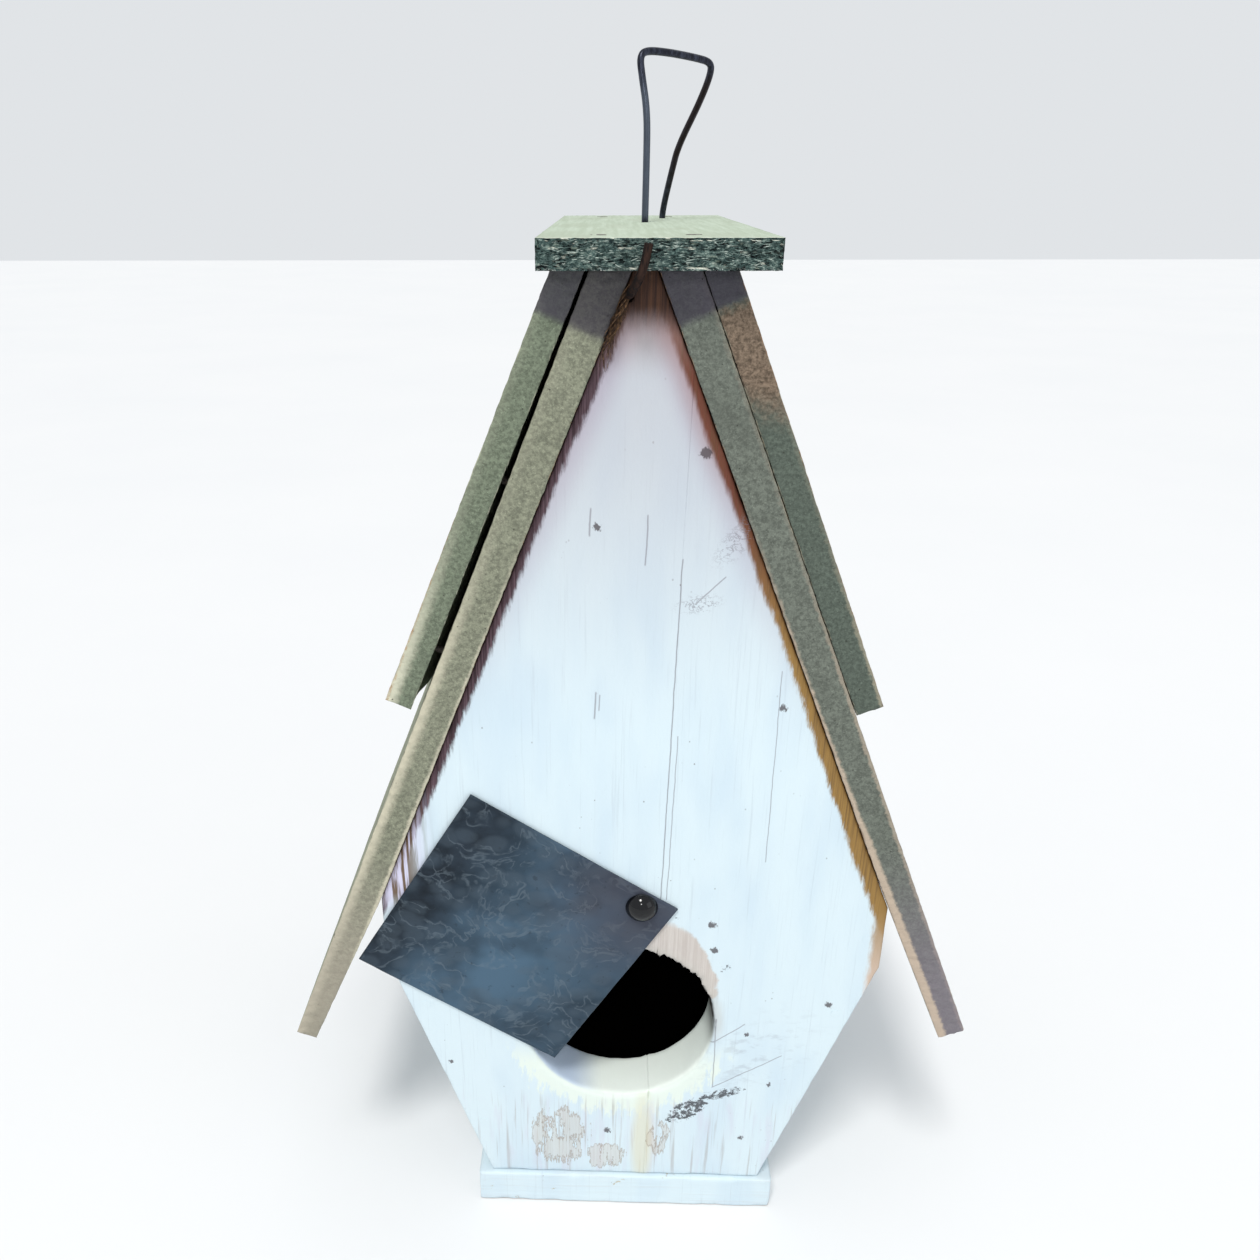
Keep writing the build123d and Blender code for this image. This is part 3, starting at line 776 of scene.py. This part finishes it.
def cap_material():
    """Pale sage on top, with rough dark end grain at the front and back."""
    g = Graph("cap_board", Specular_IOR_Level=0.2)
    facing = facing_share(g)
    top = g.step(g.nz, 0.4, 0.8)
    grain = g.noise((1.8, 42, 3), 31, 5.0, 0.65)
    fine = g.noise(0.5, 32, 3.0, 0.7)
    fibres = g.noise((2.3, 2.0, 1.2), 33, 6.0, 0.8)
    streak = g.noise((16, 4, 0.9), 34, 4.0, 0.7)
    g.colour = g.mix(g.step(grain, 0.36, 0.68), (174, 186, 166), (188, 200, 182))
    g.lay(g.step(g.noise((20, 30, 20), 35, 3.0), 0.45, 0.7) * 0.4, (168, 175, 156))
    front_edge = cap_low.y / MM
    # Painted highlight along the front edge of the top.
    lit = g.step(g.y + (fine - 0.5) * 4, front_edge + 3.2, front_edge + 0.8)
    g.lay(lit * top * 0.8, (238, 238, 222))
    side_colour = g.mix(g.step(grain, 0.4, 0.7), (112, 124, 112), (160, 172, 156))
    g.lay(g.step(g.nz, 0.5, 0.3), side_colour)
    end = g.mix(g.step(fibres, 0.40, 0.54), (6, 14, 16), (84, 108, 104))
    end = g.mix(g.step(fibres, 0.54, 0.64) * 0.9, end, (186, 206, 194))
    end = g.mix(g.step(streak, 0.58, 0.66) * 0.85, end, (8, 14, 16))
    g.lay(facing, end)
    bottom = g.step(g.z, cap_low.z / MM + 0.9, cap_low.z / MM + 0.3)
    g.lay(bottom * g.step(fine, 0.55, 0.65) * 0.9, (226, 230, 224))
    return g.finish(0.85 + fine * 0.1, grain * 0.1 + fine * 0.06 + fibres * facing * 1.4)


def wall_material(name, seed):
    """Side walls and strips: streaked white paint, worn in places and dark under the eaves."""
    g = Graph(name, Specular_IOR_Level=0.35)
    paint(g, seed)
    grain = g.noise((4, 40, 1.1), seed + 4, 5.0)
    g.lay(g.step(grain, 0.56, 0.74) * 0.3, (190, 196, 200))
    worn = g.step(g.noise((9, 30, 5), seed + 5, 4.0), 0.62, 0.69)
    g.lay(worn * 0.7, BARE_TAN)
    eave = g.step(g.z + (grain - 0.5) * 6, eaves["left"][1] / MM - 10, eaves["left"][1] / MM - 2)
    g.lay(eave * 0.7, (110, 86, 62))
    return g.finish(0.55 + worn * 0.25, grain * 0.2 - worn * 0.12)


def floor_board_material():
    g = Graph("floor_board", Specular_IOR_Level=0.35)
    paint(g, 51)
    streaks = g.noise((38, 30, 1.6), 52, 4.0)
    g.lay(g.step(streaks, 0.52, 0.72) * 0.4, (196, 200, 202))
    chips = g.step(g.noise((5, 6, 5), 53, 4.0), 0.66, 0.70)
    g.lay(chips * 0.75, (196, 182, 150))
    under = g.step(g.nz, -0.6, -0.9)
    g.lay(under, g.mix(streaks, (126, 106, 82), (166, 146, 116)))
    return g.finish(0.5 + chips * 0.3, streaks * 0.16 - chips * 0.2)


def plate_material():
    """Aged zinc: dark slate with paler swirling veins."""
    g = Graph("aged_zinc", Metallic=0.35, Specular_IOR_Level=0.2)
    swirl = g.noise((13, 13, 9), 61, 5.0, 0.62)
    broad = g.noise(34, 62, 3.0)
    bend = g.node("ShaderNodeTexNoise", {"Vector": g.place, "Scale": 0.05, "Detail": 2.0})
    warped = g.vector("ADD", g.place, g.vector("MULTIPLY", bend.outputs["Color"], (34, 34, 34)))
    swirls = g.node("ShaderNodeTexNoise", {"Vector": warped, "Scale": 0.10, "Detail": 4.0})
    off_middle = abs(Field(g, swirls.outputs[0]) - 0.5)
    vein = g.step(off_middle, 0.04, 0.0) * g.step(g.noise(9, 65, 4.0), 0.38, 0.58)
    fine = g.noise(0.8, 63, 3.0)
    g.colour = g.mix(g.step(swirl, 0.34, 0.68), (26, 34, 42), (44, 55, 66))
    across = g.x * 0.8 - g.z * 0.6 - pivot.x / MM
    blue = g.step(across, -152, -128) * (1 - g.step(across, -112, -85) * 0.4)
    g.lay((g.step(broad, 0.36, 0.62) * 0.5 + 0.3) * blue, (84, 112, 134))
    patch = g.step(g.cells((9, 9, 7), 66) + (swirl - 0.5) * 0.9, 0.62, 0.34)
    g.lay(patch * 0.28, (84, 98, 110))
    g.lay(vein * 0.32, (118, 132, 142))
    near_pivot = g.spot(pivot.x / MM, pivot.z / MM, 26, edge=0.7)
    g.lay(near_pivot * 0.45, (72, 60, 66))
    grime = g.step(g.noise((3, 3, 3), 64, 4.0), 0.60, 0.72)
    g.lay(grime * 0.4, (38, 42, 48))
    return g.finish(0.48 + swirl * 0.22 + vein * 0.1, fine * 0.03 + vein * 0.05 + swirl * 0.12)


def glossy_black_material():
    """The dome nail's black, slightly uneven so that its highlights are not perfect."""
    g = Graph("black_nail", Specular_IOR_Level=0.38)
    fine = g.noise(0.7, 71, 3.0)
    g.colour = g.mix(g.step(fine, 0.5, 0.75), (4, 5, 8), (12, 13, 18))
    return g.finish(0.05 + fine * 0.06, fine * 0.006)


def wire_material():
    """Dark steel wire with a painted highlight on its straight left leg, brown and black elsewhere."""
    g = Graph("dark_wire", Metallic=0.75)
    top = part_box("hanging_wire")[1].z / MM
    scale = g.noise((1.4, 1.4, 5), 81, 4.0, 0.7)
    g.colour = g.mix(g.step(scale, 0.42, 0.66), (30, 32, 42), (58, 62, 76))
    cap_top = cap_high.z / MM
    above_cap = g.step(g.z, cap_top, cap_top + 3)
    # Painted highlight: the straight left leg lighter and bluish.
    left_leg_highlight = g.step(g.x, 5.0, 1.5) * g.step(g.z, top - 7, top - 16) * above_cap
    g.lay(left_leg_highlight * 0.7, (84, 92, 104))
    right_leg = g.step(g.x, 8.5, 13) * g.step(g.z, top - 4, top - 12)
    g.lay(right_leg * 0.75, (34, 20, 18))
    tail = g.step(g.z, cap_top + 0.5, cap_top - 1.0)
    rust = g.mix(g.step(scale, 0.4, 0.66), (16, 12, 12), (62, 42, 32))
    g.lay(tail * 0.95, rust)
    return g.finish(0.2 + scale * 0.22 + tail * 0.4, scale * 0.05)


def speckled_material(name, noise, stops, rough, bump, **settings):
    """One noise gives the colour, the roughness (from rough[0] to rough[0] + rough[1]) and the height."""
    g = Graph(name, **settings)
    tone = g.noise(*noise)
    g.colour = g.ramp(tone, *stops)
    return g.finish(rough[0] + tone * rough[1], tone * bump)


# ---------------------------------------------------------------- reliefs and edge wear
def even_wear(seed, least, most):
    """Edges rounded by an amount that varies along them, in millimetres."""
    noise = Noise(seed)

    def wear(at):
        share = np.clip(noise(at, 7 * MM, 2) * 0.6 + 0.4, 0, 1)
        return (least + (most - least) * share**2) * MM

    return wear


def seam_distance(points):
    """Distance of (x, y, z) points from the seam between the two planks of an end board."""
    return abs(points[:, 0] - seam_low[0] - SEAM_LEAN * (points[:, 2] - seam_low[1]))


def plank_wear(seed):
    """Worn outer edges, a rounded entrance, and almost sharp edges along the seam."""
    outer = even_wear(seed, 0.5, 1.5)

    def wear(at):
        share = np.clip(seam_distance(at) / (3 * MM), 0, 1)
        radius = np.hypot(at[:, 0] - hole_centre[0], at[:, 2] - hole_centre[1])
        rim = np.clip(1 - (radius - hole_radius) / (4 * MM), 0, 1) * (at[:, 1] < 0)
        return outer(at) * share + 0.07 * MM * (1 - share) + rim * 1.6 * MM

    return wear


def tight(surface, distance, reach):
    """A surface whose relief dies out within reach of a joint, which so stays closed."""
    return lambda points, normals: surface(points, normals) * np.clip(distance(points) / reach, 0, 1)


def strip_distance(points):
    """Distance of points from the joint between the side walls and the strips above them."""
    return abs(points[:, 2] - taper_z)


def wall_wear(seed):
    """Worn edges, except along that joint."""
    outer = even_wear(seed, 0.3, 0.9)
    return lambda at: outer(at) * np.clip(strip_distance(at) / (3 * MM), 0, 1) + 0.06 * MM


def painted_relief(seed, grain=(1.7, 7, 34), depth=0.05):
    """Shallow grain and slight waves, always below the board's true face."""
    fine, broad = Noise(seed), Noise(seed + 1)

    def relief(points, normals):
        height = depth * fine(points, np.array(grain) * MM, 2) + 0.06 * broad(points, 26 * MM)
        return (height - depth * 1.5 - 0.06) * MM

    return relief


def entrance_relief(seed):
    """The painted relief, with torn fibres outside and above the right half of the entrance."""
    paint, tear, edge = painted_relief(seed), Noise(seed + 5), Noise(seed + 6)

    def relief(points, normals):
        height = paint(points, normals)
        dx, dz = points[:, 0] - hole_centre[0], points[:, 2] - hole_centre[1]
        radius, turn = np.hypot(dx, dz), np.arctan2(dz, dx)
        sector = np.clip(1.25 - abs(turn - radians(48)) / radians(46), 0, 1)
        near_front = np.clip(1 - (points[:, 1] - front_y) / (6 * MM), 0, 1)
        reach = np.clip(1 - (radius - hole_radius) / (15 * MM), 0, 1)
        ragged = tear(points, (1.3 * MM, 3 * MM, 2.4 * MM), 3)
        height -= sector * near_front * reach**2 * (0.45 + 0.5 * ragged) * MM
        on_wall = (radius < hole_radius + 0.5 * MM) * near_front
        height -= sector * on_wall * (1.0 + 2.0 * edge(points, (1.5 * MM, 5 * MM, 1.5 * MM), 2)) * MM
        return height

    return relief


def sawn_relief(seed, depth=0.12, end_depth=0.3):
    """Weathered wood: long grooves on the faces, rough fibres on the sawn ends."""
    long, fibres, fine = Noise(seed), Noise(seed + 1), Noise(seed + 2)

    def relief(points, normals):
        end = np.clip((abs(normals[:, 1]) - 0.4) / 0.4, 0, 1)
        grooves = long(points, (2.0 * MM, 40 * MM, 2.0 * MM), 3)
        torn = fibres(points, (2.6 * MM, 2.6 * MM, 1.0 * MM), 3)
        grit = fine(points, 0.9 * MM, 2)
        height = (1 - end) * depth * grooves + end * end_depth * torn + 0.05 * grit
        return (height - depth * (1 - end) - end_depth * end) * MM

    return relief


def cupped_relief(surface):
    """A roof board that has sprung away from the one below it only at its two ends."""
    low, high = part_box("roof_upper_left")
    a, top = slope_angles["left"], slope_tops["left"]

    def relief(points, normals):
        height = surface(points, normals)
        along = -(points[:, 0] - top[0]) * sin(a) - (points[:, 2] - top[1]) * cos(a)
        out = -(points[:, 0] - top[0]) * cos(a) + (points[:, 2] - top[1]) * sin(a)
        gap = out - LOWER_THICKNESS * MM
        inner = (normals[:, 0] > 0.5) & (gap < 4.5 * MM)
        from_end = np.minimum(points[:, 1] - low.y, high.y - points[:, 1])
        rise = np.clip((from_end - 7 * MM) / (22 * MM), 0, 1)
        return height + inner * rise**2 * (3 - 2 * rise) * np.clip(gap - height, 0, None)

    return relief


def plate_relief(seed):
    """Thin sheet, very slightly wavy."""
    wave, fine = Noise(seed), Noise(seed + 1)
    return lambda points, normals: (0.03 * wave(points, 18 * MM) + 0.012 * fine(points, 2 * MM) - 0.05) * MM


def tear_entrance(loop):
    """The plank's outline with small teeth along the upper right of the entrance."""
    rng = np.random.default_rng(115)
    on_rim = abs(np.linalg.norm(loop - hole_centre, axis=1) - hole_radius) < 0.3 * MM
    out = []
    for i, point in enumerate(loop):
        following = (i + 1) % len(loop)
        if not (on_rim[i] and on_rim[following]):
            out.append(point)
            continue
        steps = max(1, round(np.linalg.norm(loop[following] - point) / (0.55 * MM)))
        for step in range(steps):
            spoke = point + (loop[following] - point) * step / steps - hole_centre
            turn = atan2(spoke[1], spoke[0])
            sector = min(max((radians(58) - abs(turn - radians(52))) / radians(16), 0), 1)
            tooth = sector * (rng.uniform(-0.2, 0.75) + 0.5 * sin(turn * 41) * sin(turn * 23))
            reach = hole_radius + tooth * MM * (step > 0 or sector > 0)
            out.append(hole_centre + spoke / np.linalg.norm(spoke) * reach)
    return np.array(out)


def from_node(node, spacing, wear, relief, loops=1, reshape=None, **settings):
    """A worn board with a CAD node's outline and depth."""
    low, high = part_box(node)
    outlines = [drop_straight_points(loop) for loop in face_loops(node, high.y)[:loops]]
    if reshape:
        outlines = [reshape(loop) for loop in outlines]
    return board(node + "_look", outlines, low.y, high.y, spacing, wear, relief, **settings)


# ---------------------------------------------------------------- wooden pieces
# Dark wood for the inside of the house, made near black as painted shade of its inside.
def interior_material():
    g = Graph("interior_wood_and_shade", Specular_IOR_Level=0.0)
    grain = g.noise((2, 30, 2), 97, 4.0)
    g.colour = g.mix(grain, (8, 7, 6), (20, 16, 13))
    return g.finish(0.9 + grain * 0.1, grain * 0.2)


def line_inside(piece, material):
    """Gives the faces that look into the house, and the worn edges at its floor, their own dark wood,
    darkened to near black as painted shade.
    """
    rim = np.concatenate([plank_loops[side][0] for side in SIDES])
    hull = rim[convex_hull_2d([Vector(p) for p in rim])]
    mesh = piece.data
    mesh.materials.append(material)
    look = read(mesh.polygons, "center") + 3 * MM * read(mesh.polygons, "normal")
    above_floor = look[:, 2] - floor_top_z
    depth = np.where(above_floor < 4 * MM, -front_inner_y + 2.5 * MM, -front_inner_y)
    within = inside(look[:, [0, 2]], hull) & (abs(look[:, 1]) < depth) & (above_floor > -2 * MM)
    mesh.polygons.foreach_set("material_index", within.astype(np.int32))


interior_wood_and_shade = interior_material()


def board_piece(node, slot, material, spacing, wear, relief, lined=True, **settings):
    """A worn board in a CAD node's place on the house."""
    piece = from_node(node, spacing, wear, relief, **settings)
    place(piece, "house", slot, material, node)
    if lined:
        line_inside(piece, interior_wood_and_shade)


front_paint = end_board_material("front_paint", 3, front=True)
back_paint = end_board_material("back_paint", 23, front=False)
front_surface = tight(entrance_relief(110), seam_distance, 1.5 * MM)
back_surface = tight(painted_relief(120), seam_distance, 1.5 * MM)
for side in SIDES:
    board_piece(f"front_board_{side}", "white_painted_board", front_paint, 1.3 * MM, plank_wear(101),
                front_surface, reshape=tear_entrance)
    board_piece(f"back_board_{side}", "white_painted_board", back_paint, 1.8 * MM, plank_wear(103),
                back_surface)

walls = wall_material("wall_paint", 41)
for number, side in enumerate(SIDES):
    surface = tight(painted_relief(134 + number, grain=(3, 40, 2)), strip_distance, 2 * MM)
    for part in ("side_wall", "side_strip"):
        board_piece(f"{part}_{side}", "white_painted_board", walls, 1.6 * MM, wall_wear(130 + number),
                    surface)

LEFT_LIFT = 2.0  # the upper left board has sprung away by about this much
roof_looks = {
    "roof_lower_left": lower_roof_material(
        "left", 5, (146, 149, 129), (158, 163, 142), (206, 200, 178), LOWER_THICKNESS, 1.0, (164, 156, 142)),
    "roof_lower_right": lower_roof_material(
        "right", 9, (118, 124, 114), (150, 156, 140), (196, 178, 158), LOWER_THICKNESS, 3.4, (128, 120, 130)),
    "roof_upper_left": upper_roof_material(
        "left", 13, (126, 136, 116), (152, 161, 140), (214, 212, 190),
        LOWER_THICKNESS + LEFT_LIFT, UPPER_THICKNESS, False),
    "roof_upper_right": upper_roof_material(
        "right", 17, (98, 108, 98), (148, 156, 140), (188, 176, 152), LOWER_THICKNESS, UPPER_THICKNESS, True),
}
for number, (node, material) in enumerate(roof_looks.items()):
    relief = sawn_relief(150 + 4 * number)
    if node == "roof_upper_left":
        relief = cupped_relief(relief)
    board_piece(node, "grey_green_roof_board", material, 1.0 * MM, even_wear(140 + number, 0.4, 1.3), relief,
                rows=(0.9 * MM, 5 * MM))

board_piece("ridge_cap", "cap_board", cap_material(), 0.6 * MM, even_wear(170, 0.3, 0.8),
            sawn_relief(172, depth=0.06, end_depth=0.7), lined=False, rows=(0.6 * MM, 4 * MM))
board_piece("floor_board", "white_floor_board", floor_board_material(), 1.3 * MM, even_wear(180, 0.5, 2.2),
            painted_relief(182, grain=(34, 30, 2)))


# ---------------------------------------------------------------- cover plate, nails and wire
piece = from_node("cover_plate", 1.3 * MM, even_wear(190, 0.15, 0.4), plate_relief(192), loops=2,
                  rows=(0.3 * MM, 0.4 * MM))
place(piece, "cover_plate", "aged_zinc_sheet", plate_material(), "cover_plate")


def finish_node(node, material):
    """Gives a CAD node that keeps its own shape its material."""
    materials = frame["nodes"][node].data.materials
    materials.clear()
    materials.append(material)


finish_node("pivot_nail", glossy_black_material())
steel = speckled_material("steel_nails", ((0.9, 0.9, 0.9), 91, 4.0, 0.7),
                          [(0.35, (64, 52, 46)), (0.6, (118, 112, 108)), (0.75, (150, 96, 66))],
                          (0.45, 0.35), 0.08, Metallic=0.6)
for group in ("floor_nails", "roof_nails_left", "roof_nails_right", "cap_nails"):
    finish_node(group, steel)
finish_node("front_nails", front_paint)
finish_node("back_nails", back_paint)


# ---------------------------------------------------------------- hanging wire
WIRE_DIAMETER = 2.4
WIRE_ROUTE = [
    (-1.3, -105.8, 362.8), (-1.8, -105.8, 359.5), (-3.3, -105.6, 354.6), (-5.4, -101.2, 350.4),
    (-6.2, -94.0, 349.1), (-6.2, -70.0, 349.0), (-5.9, -56.0, 349.0), (-0.6, 9.0, 348.1),
    (0.7, 14.8, 349.2), (0.9, 16.0, 353.5), (0.9, 16.0, 364.0), (0.9, 16.0, 384.0),
    (0.7, 16.1, 398.0), (-1.4, 17.0, 409.0), (-2.2, 17.9, 414.2), (-0.4, 19.4, 416.3), (7.6, 25.6, 416.2),
    (17.6, 33.6, 415.2), (22.9, 37.8, 414.3), (23.6, 38.8, 411.4), (20.6, 43.2, 403.0), (13.6, 52.9, 388.6),
    (11.9, 56.5, 381.0), (9.6, 62.0, 370.0), (8.8, 64.0, 364.0), (8.8, 64.0, 350.0), (8.8, 63.9, 336.5),
    (8.8, 62.6, 333.2), (8.8, 59.0, 333.0), (8.8, 40.0, 333.0),
]


def bent_wire():
    """The wire's own line as one smooth curve: tail, run under the ridge, loop and clinched end."""
    curve = bpy.data.curves.new("bent_wire", "CURVE")
    curve.dimensions = "3D"
    curve.bevel_depth = WIRE_DIAMETER / 2 * MM
    curve.bevel_resolution, curve.resolution_u = 5, 12
    curve.use_fill_caps = True
    spline = curve.splines.new("NURBS")
    spline.points.add(len(WIRE_ROUTE) - 1)
    for point, place_mm in zip(spline.points, WIRE_ROUTE):
        point.co = (*(c * MM for c in place_mm), 1.0)
    spline.order_u, spline.use_endpoint_u = 3, True
    return link("bent_wire", curve)


place(bent_wire(), "house", "dark_wire", wire_material(), "hanging_wire")


# ---------------------------------------------------------------- loose fibres
def strands(name, routes, widths):
    """Thin tapering strands along routes of points, joined in one mesh."""
    points, faces = [], []
    for route, width in zip(routes, widths):
        start = len(points)
        for i, point in enumerate(route):
            following = route[min(i + 1, len(route) - 1)] - route[max(i - 1, 0)]
            across = following.cross(Vector((0.31, 0.87, 0.38))).normalized()
            lift = following.cross(across).normalized()
            radius = width * (1 - 0.75 * i / (len(route) - 1))
            for turn in (0, 2 * pi / 3, 4 * pi / 3):
                points.append(point + (across * cos(turn) + lift * sin(turn)) * radius)
        for i in range(len(route) - 1):
            for j in range(3):
                a, b = start + 3 * i + j, start + 3 * i + (j + 1) % 3
                faces.append((a, b, b + 3, a + 3))
        last = start + 3 * (len(route) - 1)
        faces += [(start + 2, start + 1, start), (last, last + 1, last + 2)]
    mesh = bpy.data.meshes.new(name)
    mesh.from_pydata([tuple(p) for p in points], [], faces)
    mesh.shade_smooth()
    return link(name, mesh)


def cap_fibre_routes():
    """Short splinters lying nearly flat on the cap's sawn ends."""
    rng = np.random.default_rng(201)
    routes = []
    for facing_y, count in ((-1, 420), (1, 220)):
        face = cap_low.y if facing_y < 0 else cap_high.y
        for _ in range(count):
            x = rng.uniform(cap_low.x + 1.5 * MM, cap_high.x - 3 * MM)
            z = rng.uniform(cap_low.z + 0.8 * MM, cap_high.z - 0.6 * MM)
            lean = rng.normal(0.05, 0.35)
            length = rng.uniform(0.8, 3.4) * MM
            lift = rng.uniform(-0.1, 0.35) * MM
            route = []
            for share in (0, 0.35, 0.7, 1):
                bow = lift * sin(share * pi) - 0.28 * MM
                step = length * share
                rise = step * sin(lean) * 0.6
                route.append(Vector((x + step * cos(lean), face + facing_y * bow, z + rise)))
            routes.append(route)
    return routes, rng.uniform(0.06, 0.16, len(routes)) * MM


piece = strands("cap_fibres", *cap_fibre_routes())
fibre = speckled_material("cap_fibres", ((1.6, 1.6, 1.6), 86, 2.0),
                          [(0.32, (34, 50, 52)), (0.5, (108, 128, 122)), (0.68, (196, 208, 198))],
                          (0.85, 0.1), 0.1, Specular_IOR_Level=0.2)
place(piece, "house", "cap_board", fibre)


def tail_routes():
    """Rusty strands wound about the wire where it turns back into the roof."""
    wire, _ = mesh_arrays("hanging_wire")
    outside = wire[wire[:, 1] < roof_front_y - 1 * MM]
    foot = Vector(outside[outside[:, 2] < outside[:, 2].min() + 3 * MM].mean(0))
    start = foot + Vector((0.6 * MM, 0.4 * MM, 3.5 * MM))
    end = Vector((foot.x - 5.2 * MM, roof_front_y - 0.4 * MM, foot.z - 13 * MM))
    axis = (end - start).normalized()
    side = axis.cross(Vector((0, 1, 0))).normalized()
    lift = axis.cross(side)
    rng = np.random.default_rng(211)
    routes = []
    for _ in range(58):
        turn, radius = rng.uniform(0, 2 * pi), rng.uniform(0.4, 1.9) * MM
        begin, span = rng.uniform(-0.1, 0.6), rng.uniform(0.3, 0.8)
        twist = rng.uniform(2.5, 5.0)
        route = []
        for share in np.linspace(0, 1, 7):
            along = begin + span * share
            angle = turn + twist * share
            spread = radius * (0.5 + 0.7 * share)
            route.append(start + (end - start) * along + (side * cos(angle) + lift * sin(angle)) * spread)
        routes.append(route)
    return routes, rng.uniform(0.12, 0.34, len(routes)) * MM


piece = strands("wire_tail_fibres", *tail_routes())
rust = speckled_material("rusty_strands", ((0.8, 0.8, 1.4), 85, 4.0, 0.7),
                         [(0.3, (26, 18, 17)), (0.5, (70, 52, 38)), (0.68, (128, 98, 70))],
                         (0.8, 0.15), 0.15, Specular_IOR_Level=0.2)
place(piece, "house", "dark_wire", rust)


# ---------------------------------------------------------------- stage, lights and camera
def stage_floor():
    mesh = bpy.data.meshes.new("stage_floor")
    bm = bmesh.new()
    bmesh.ops.create_grid(bm, x_segments=24, y_segments=24, size=6.0)
    bm.to_mesh(mesh)
    bm.free()
    floor = link("stage_floor", mesh)
    g = Graph("stage_floor", Specular_IOR_Level=0.1)
    tone = g.noise(300, 95)
    g.colour = g.mix(tone, (228, 229, 230), (233, 233, 233))
    mesh.materials.append(g.finish(0.9 + tone * 0.05, tone * 0.05))


def soft_light(name, position, size, power, colour=(1, 1, 1)):
    """A square studio light that faces the middle of the house."""
    light = bpy.data.lights.new(name, "AREA")
    light.size, light.energy, light.color = size, power, colour
    lamp = bpy.data.objects.new(name, light)
    lamp.location = position
    middle = (Vector(cad_low) + Vector(cad_high)) / 2
    lamp.rotation_euler = (middle - Vector(position)).to_track_quat("-Z", "Y").to_euler()
    bpy.context.scene.collection.objects.link(lamp)


def key_light():
    """A wide soft source, far away, above and to the left of the front."""
    light = bpy.data.lights.new("key", "SUN")
    light.energy, light.angle, light.color = 1.7, radians(14), (1.0, 0.985, 0.96)
    lamp = bpy.data.objects.new("key", light)
    azimuth, elevation = radians(-18), radians(60)
    toward = Vector((sin(azimuth) * cos(elevation), -cos(azimuth) * cos(elevation), sin(elevation)))
    lamp.rotation_euler = toward.to_track_quat("Z", "Y").to_euler()
    bpy.context.scene.collection.objects.link(lamp)


def studio():
    key_light()
    soft_light("window", (-0.05, -0.75, 0.62), 0.10, 0.8)
    soft_light("window_upper", (-0.1, -0.5, 1.0), 0.08, 0.4)
    soft_light("fill", (1.3, -1.0, 0.7), 0.9, 2.5, (0.94, 0.97, 1.0))
    world = bpy.data.worlds.new("studio")
    world.use_nodes = True
    background = world.node_tree.nodes["Background"]
    background.inputs["Color"].default_value = (0.94, 0.97, 1.0, 1.0)
    background.inputs["Strength"].default_value = 0.9
    bpy.context.scene.world = world
    bpy.context.scene.view_settings.view_transform = "Standard"
    bpy.context.scene.view_settings.exposure = -0.17


def camera():
    """Close in front of the roof, looking down at the entrance."""
    yaw, pitch, roll = radians(-2.291), radians(26.883), radians(-0.218)
    data = bpy.data.cameras.new("camera")
    data.lens, data.sensor_width = 31.71, 36.0
    data.shift_x, data.shift_y = 0.0526, 0.0898
    data.clip_start = 0.01
    forward = Vector((sin(yaw) * cos(pitch), cos(yaw) * cos(pitch), -sin(pitch)))
    level = Vector((cos(yaw), -sin(yaw), 0))
    upright = level.cross(forward)
    right = level * cos(roll) + upright * sin(roll)
    up = upright * cos(roll) - level * sin(roll)
    turn = Matrix((right, up, -forward)).transposed().to_4x4()
    view = bpy.data.objects.new("camera", data)
    view.matrix_world = Matrix.Translation((-0.01122, -0.42021, 0.37729)) @ turn
    bpy.context.scene.collection.objects.link(view)
    bpy.context.scene.camera = view


stage_floor()
studio()
camera()
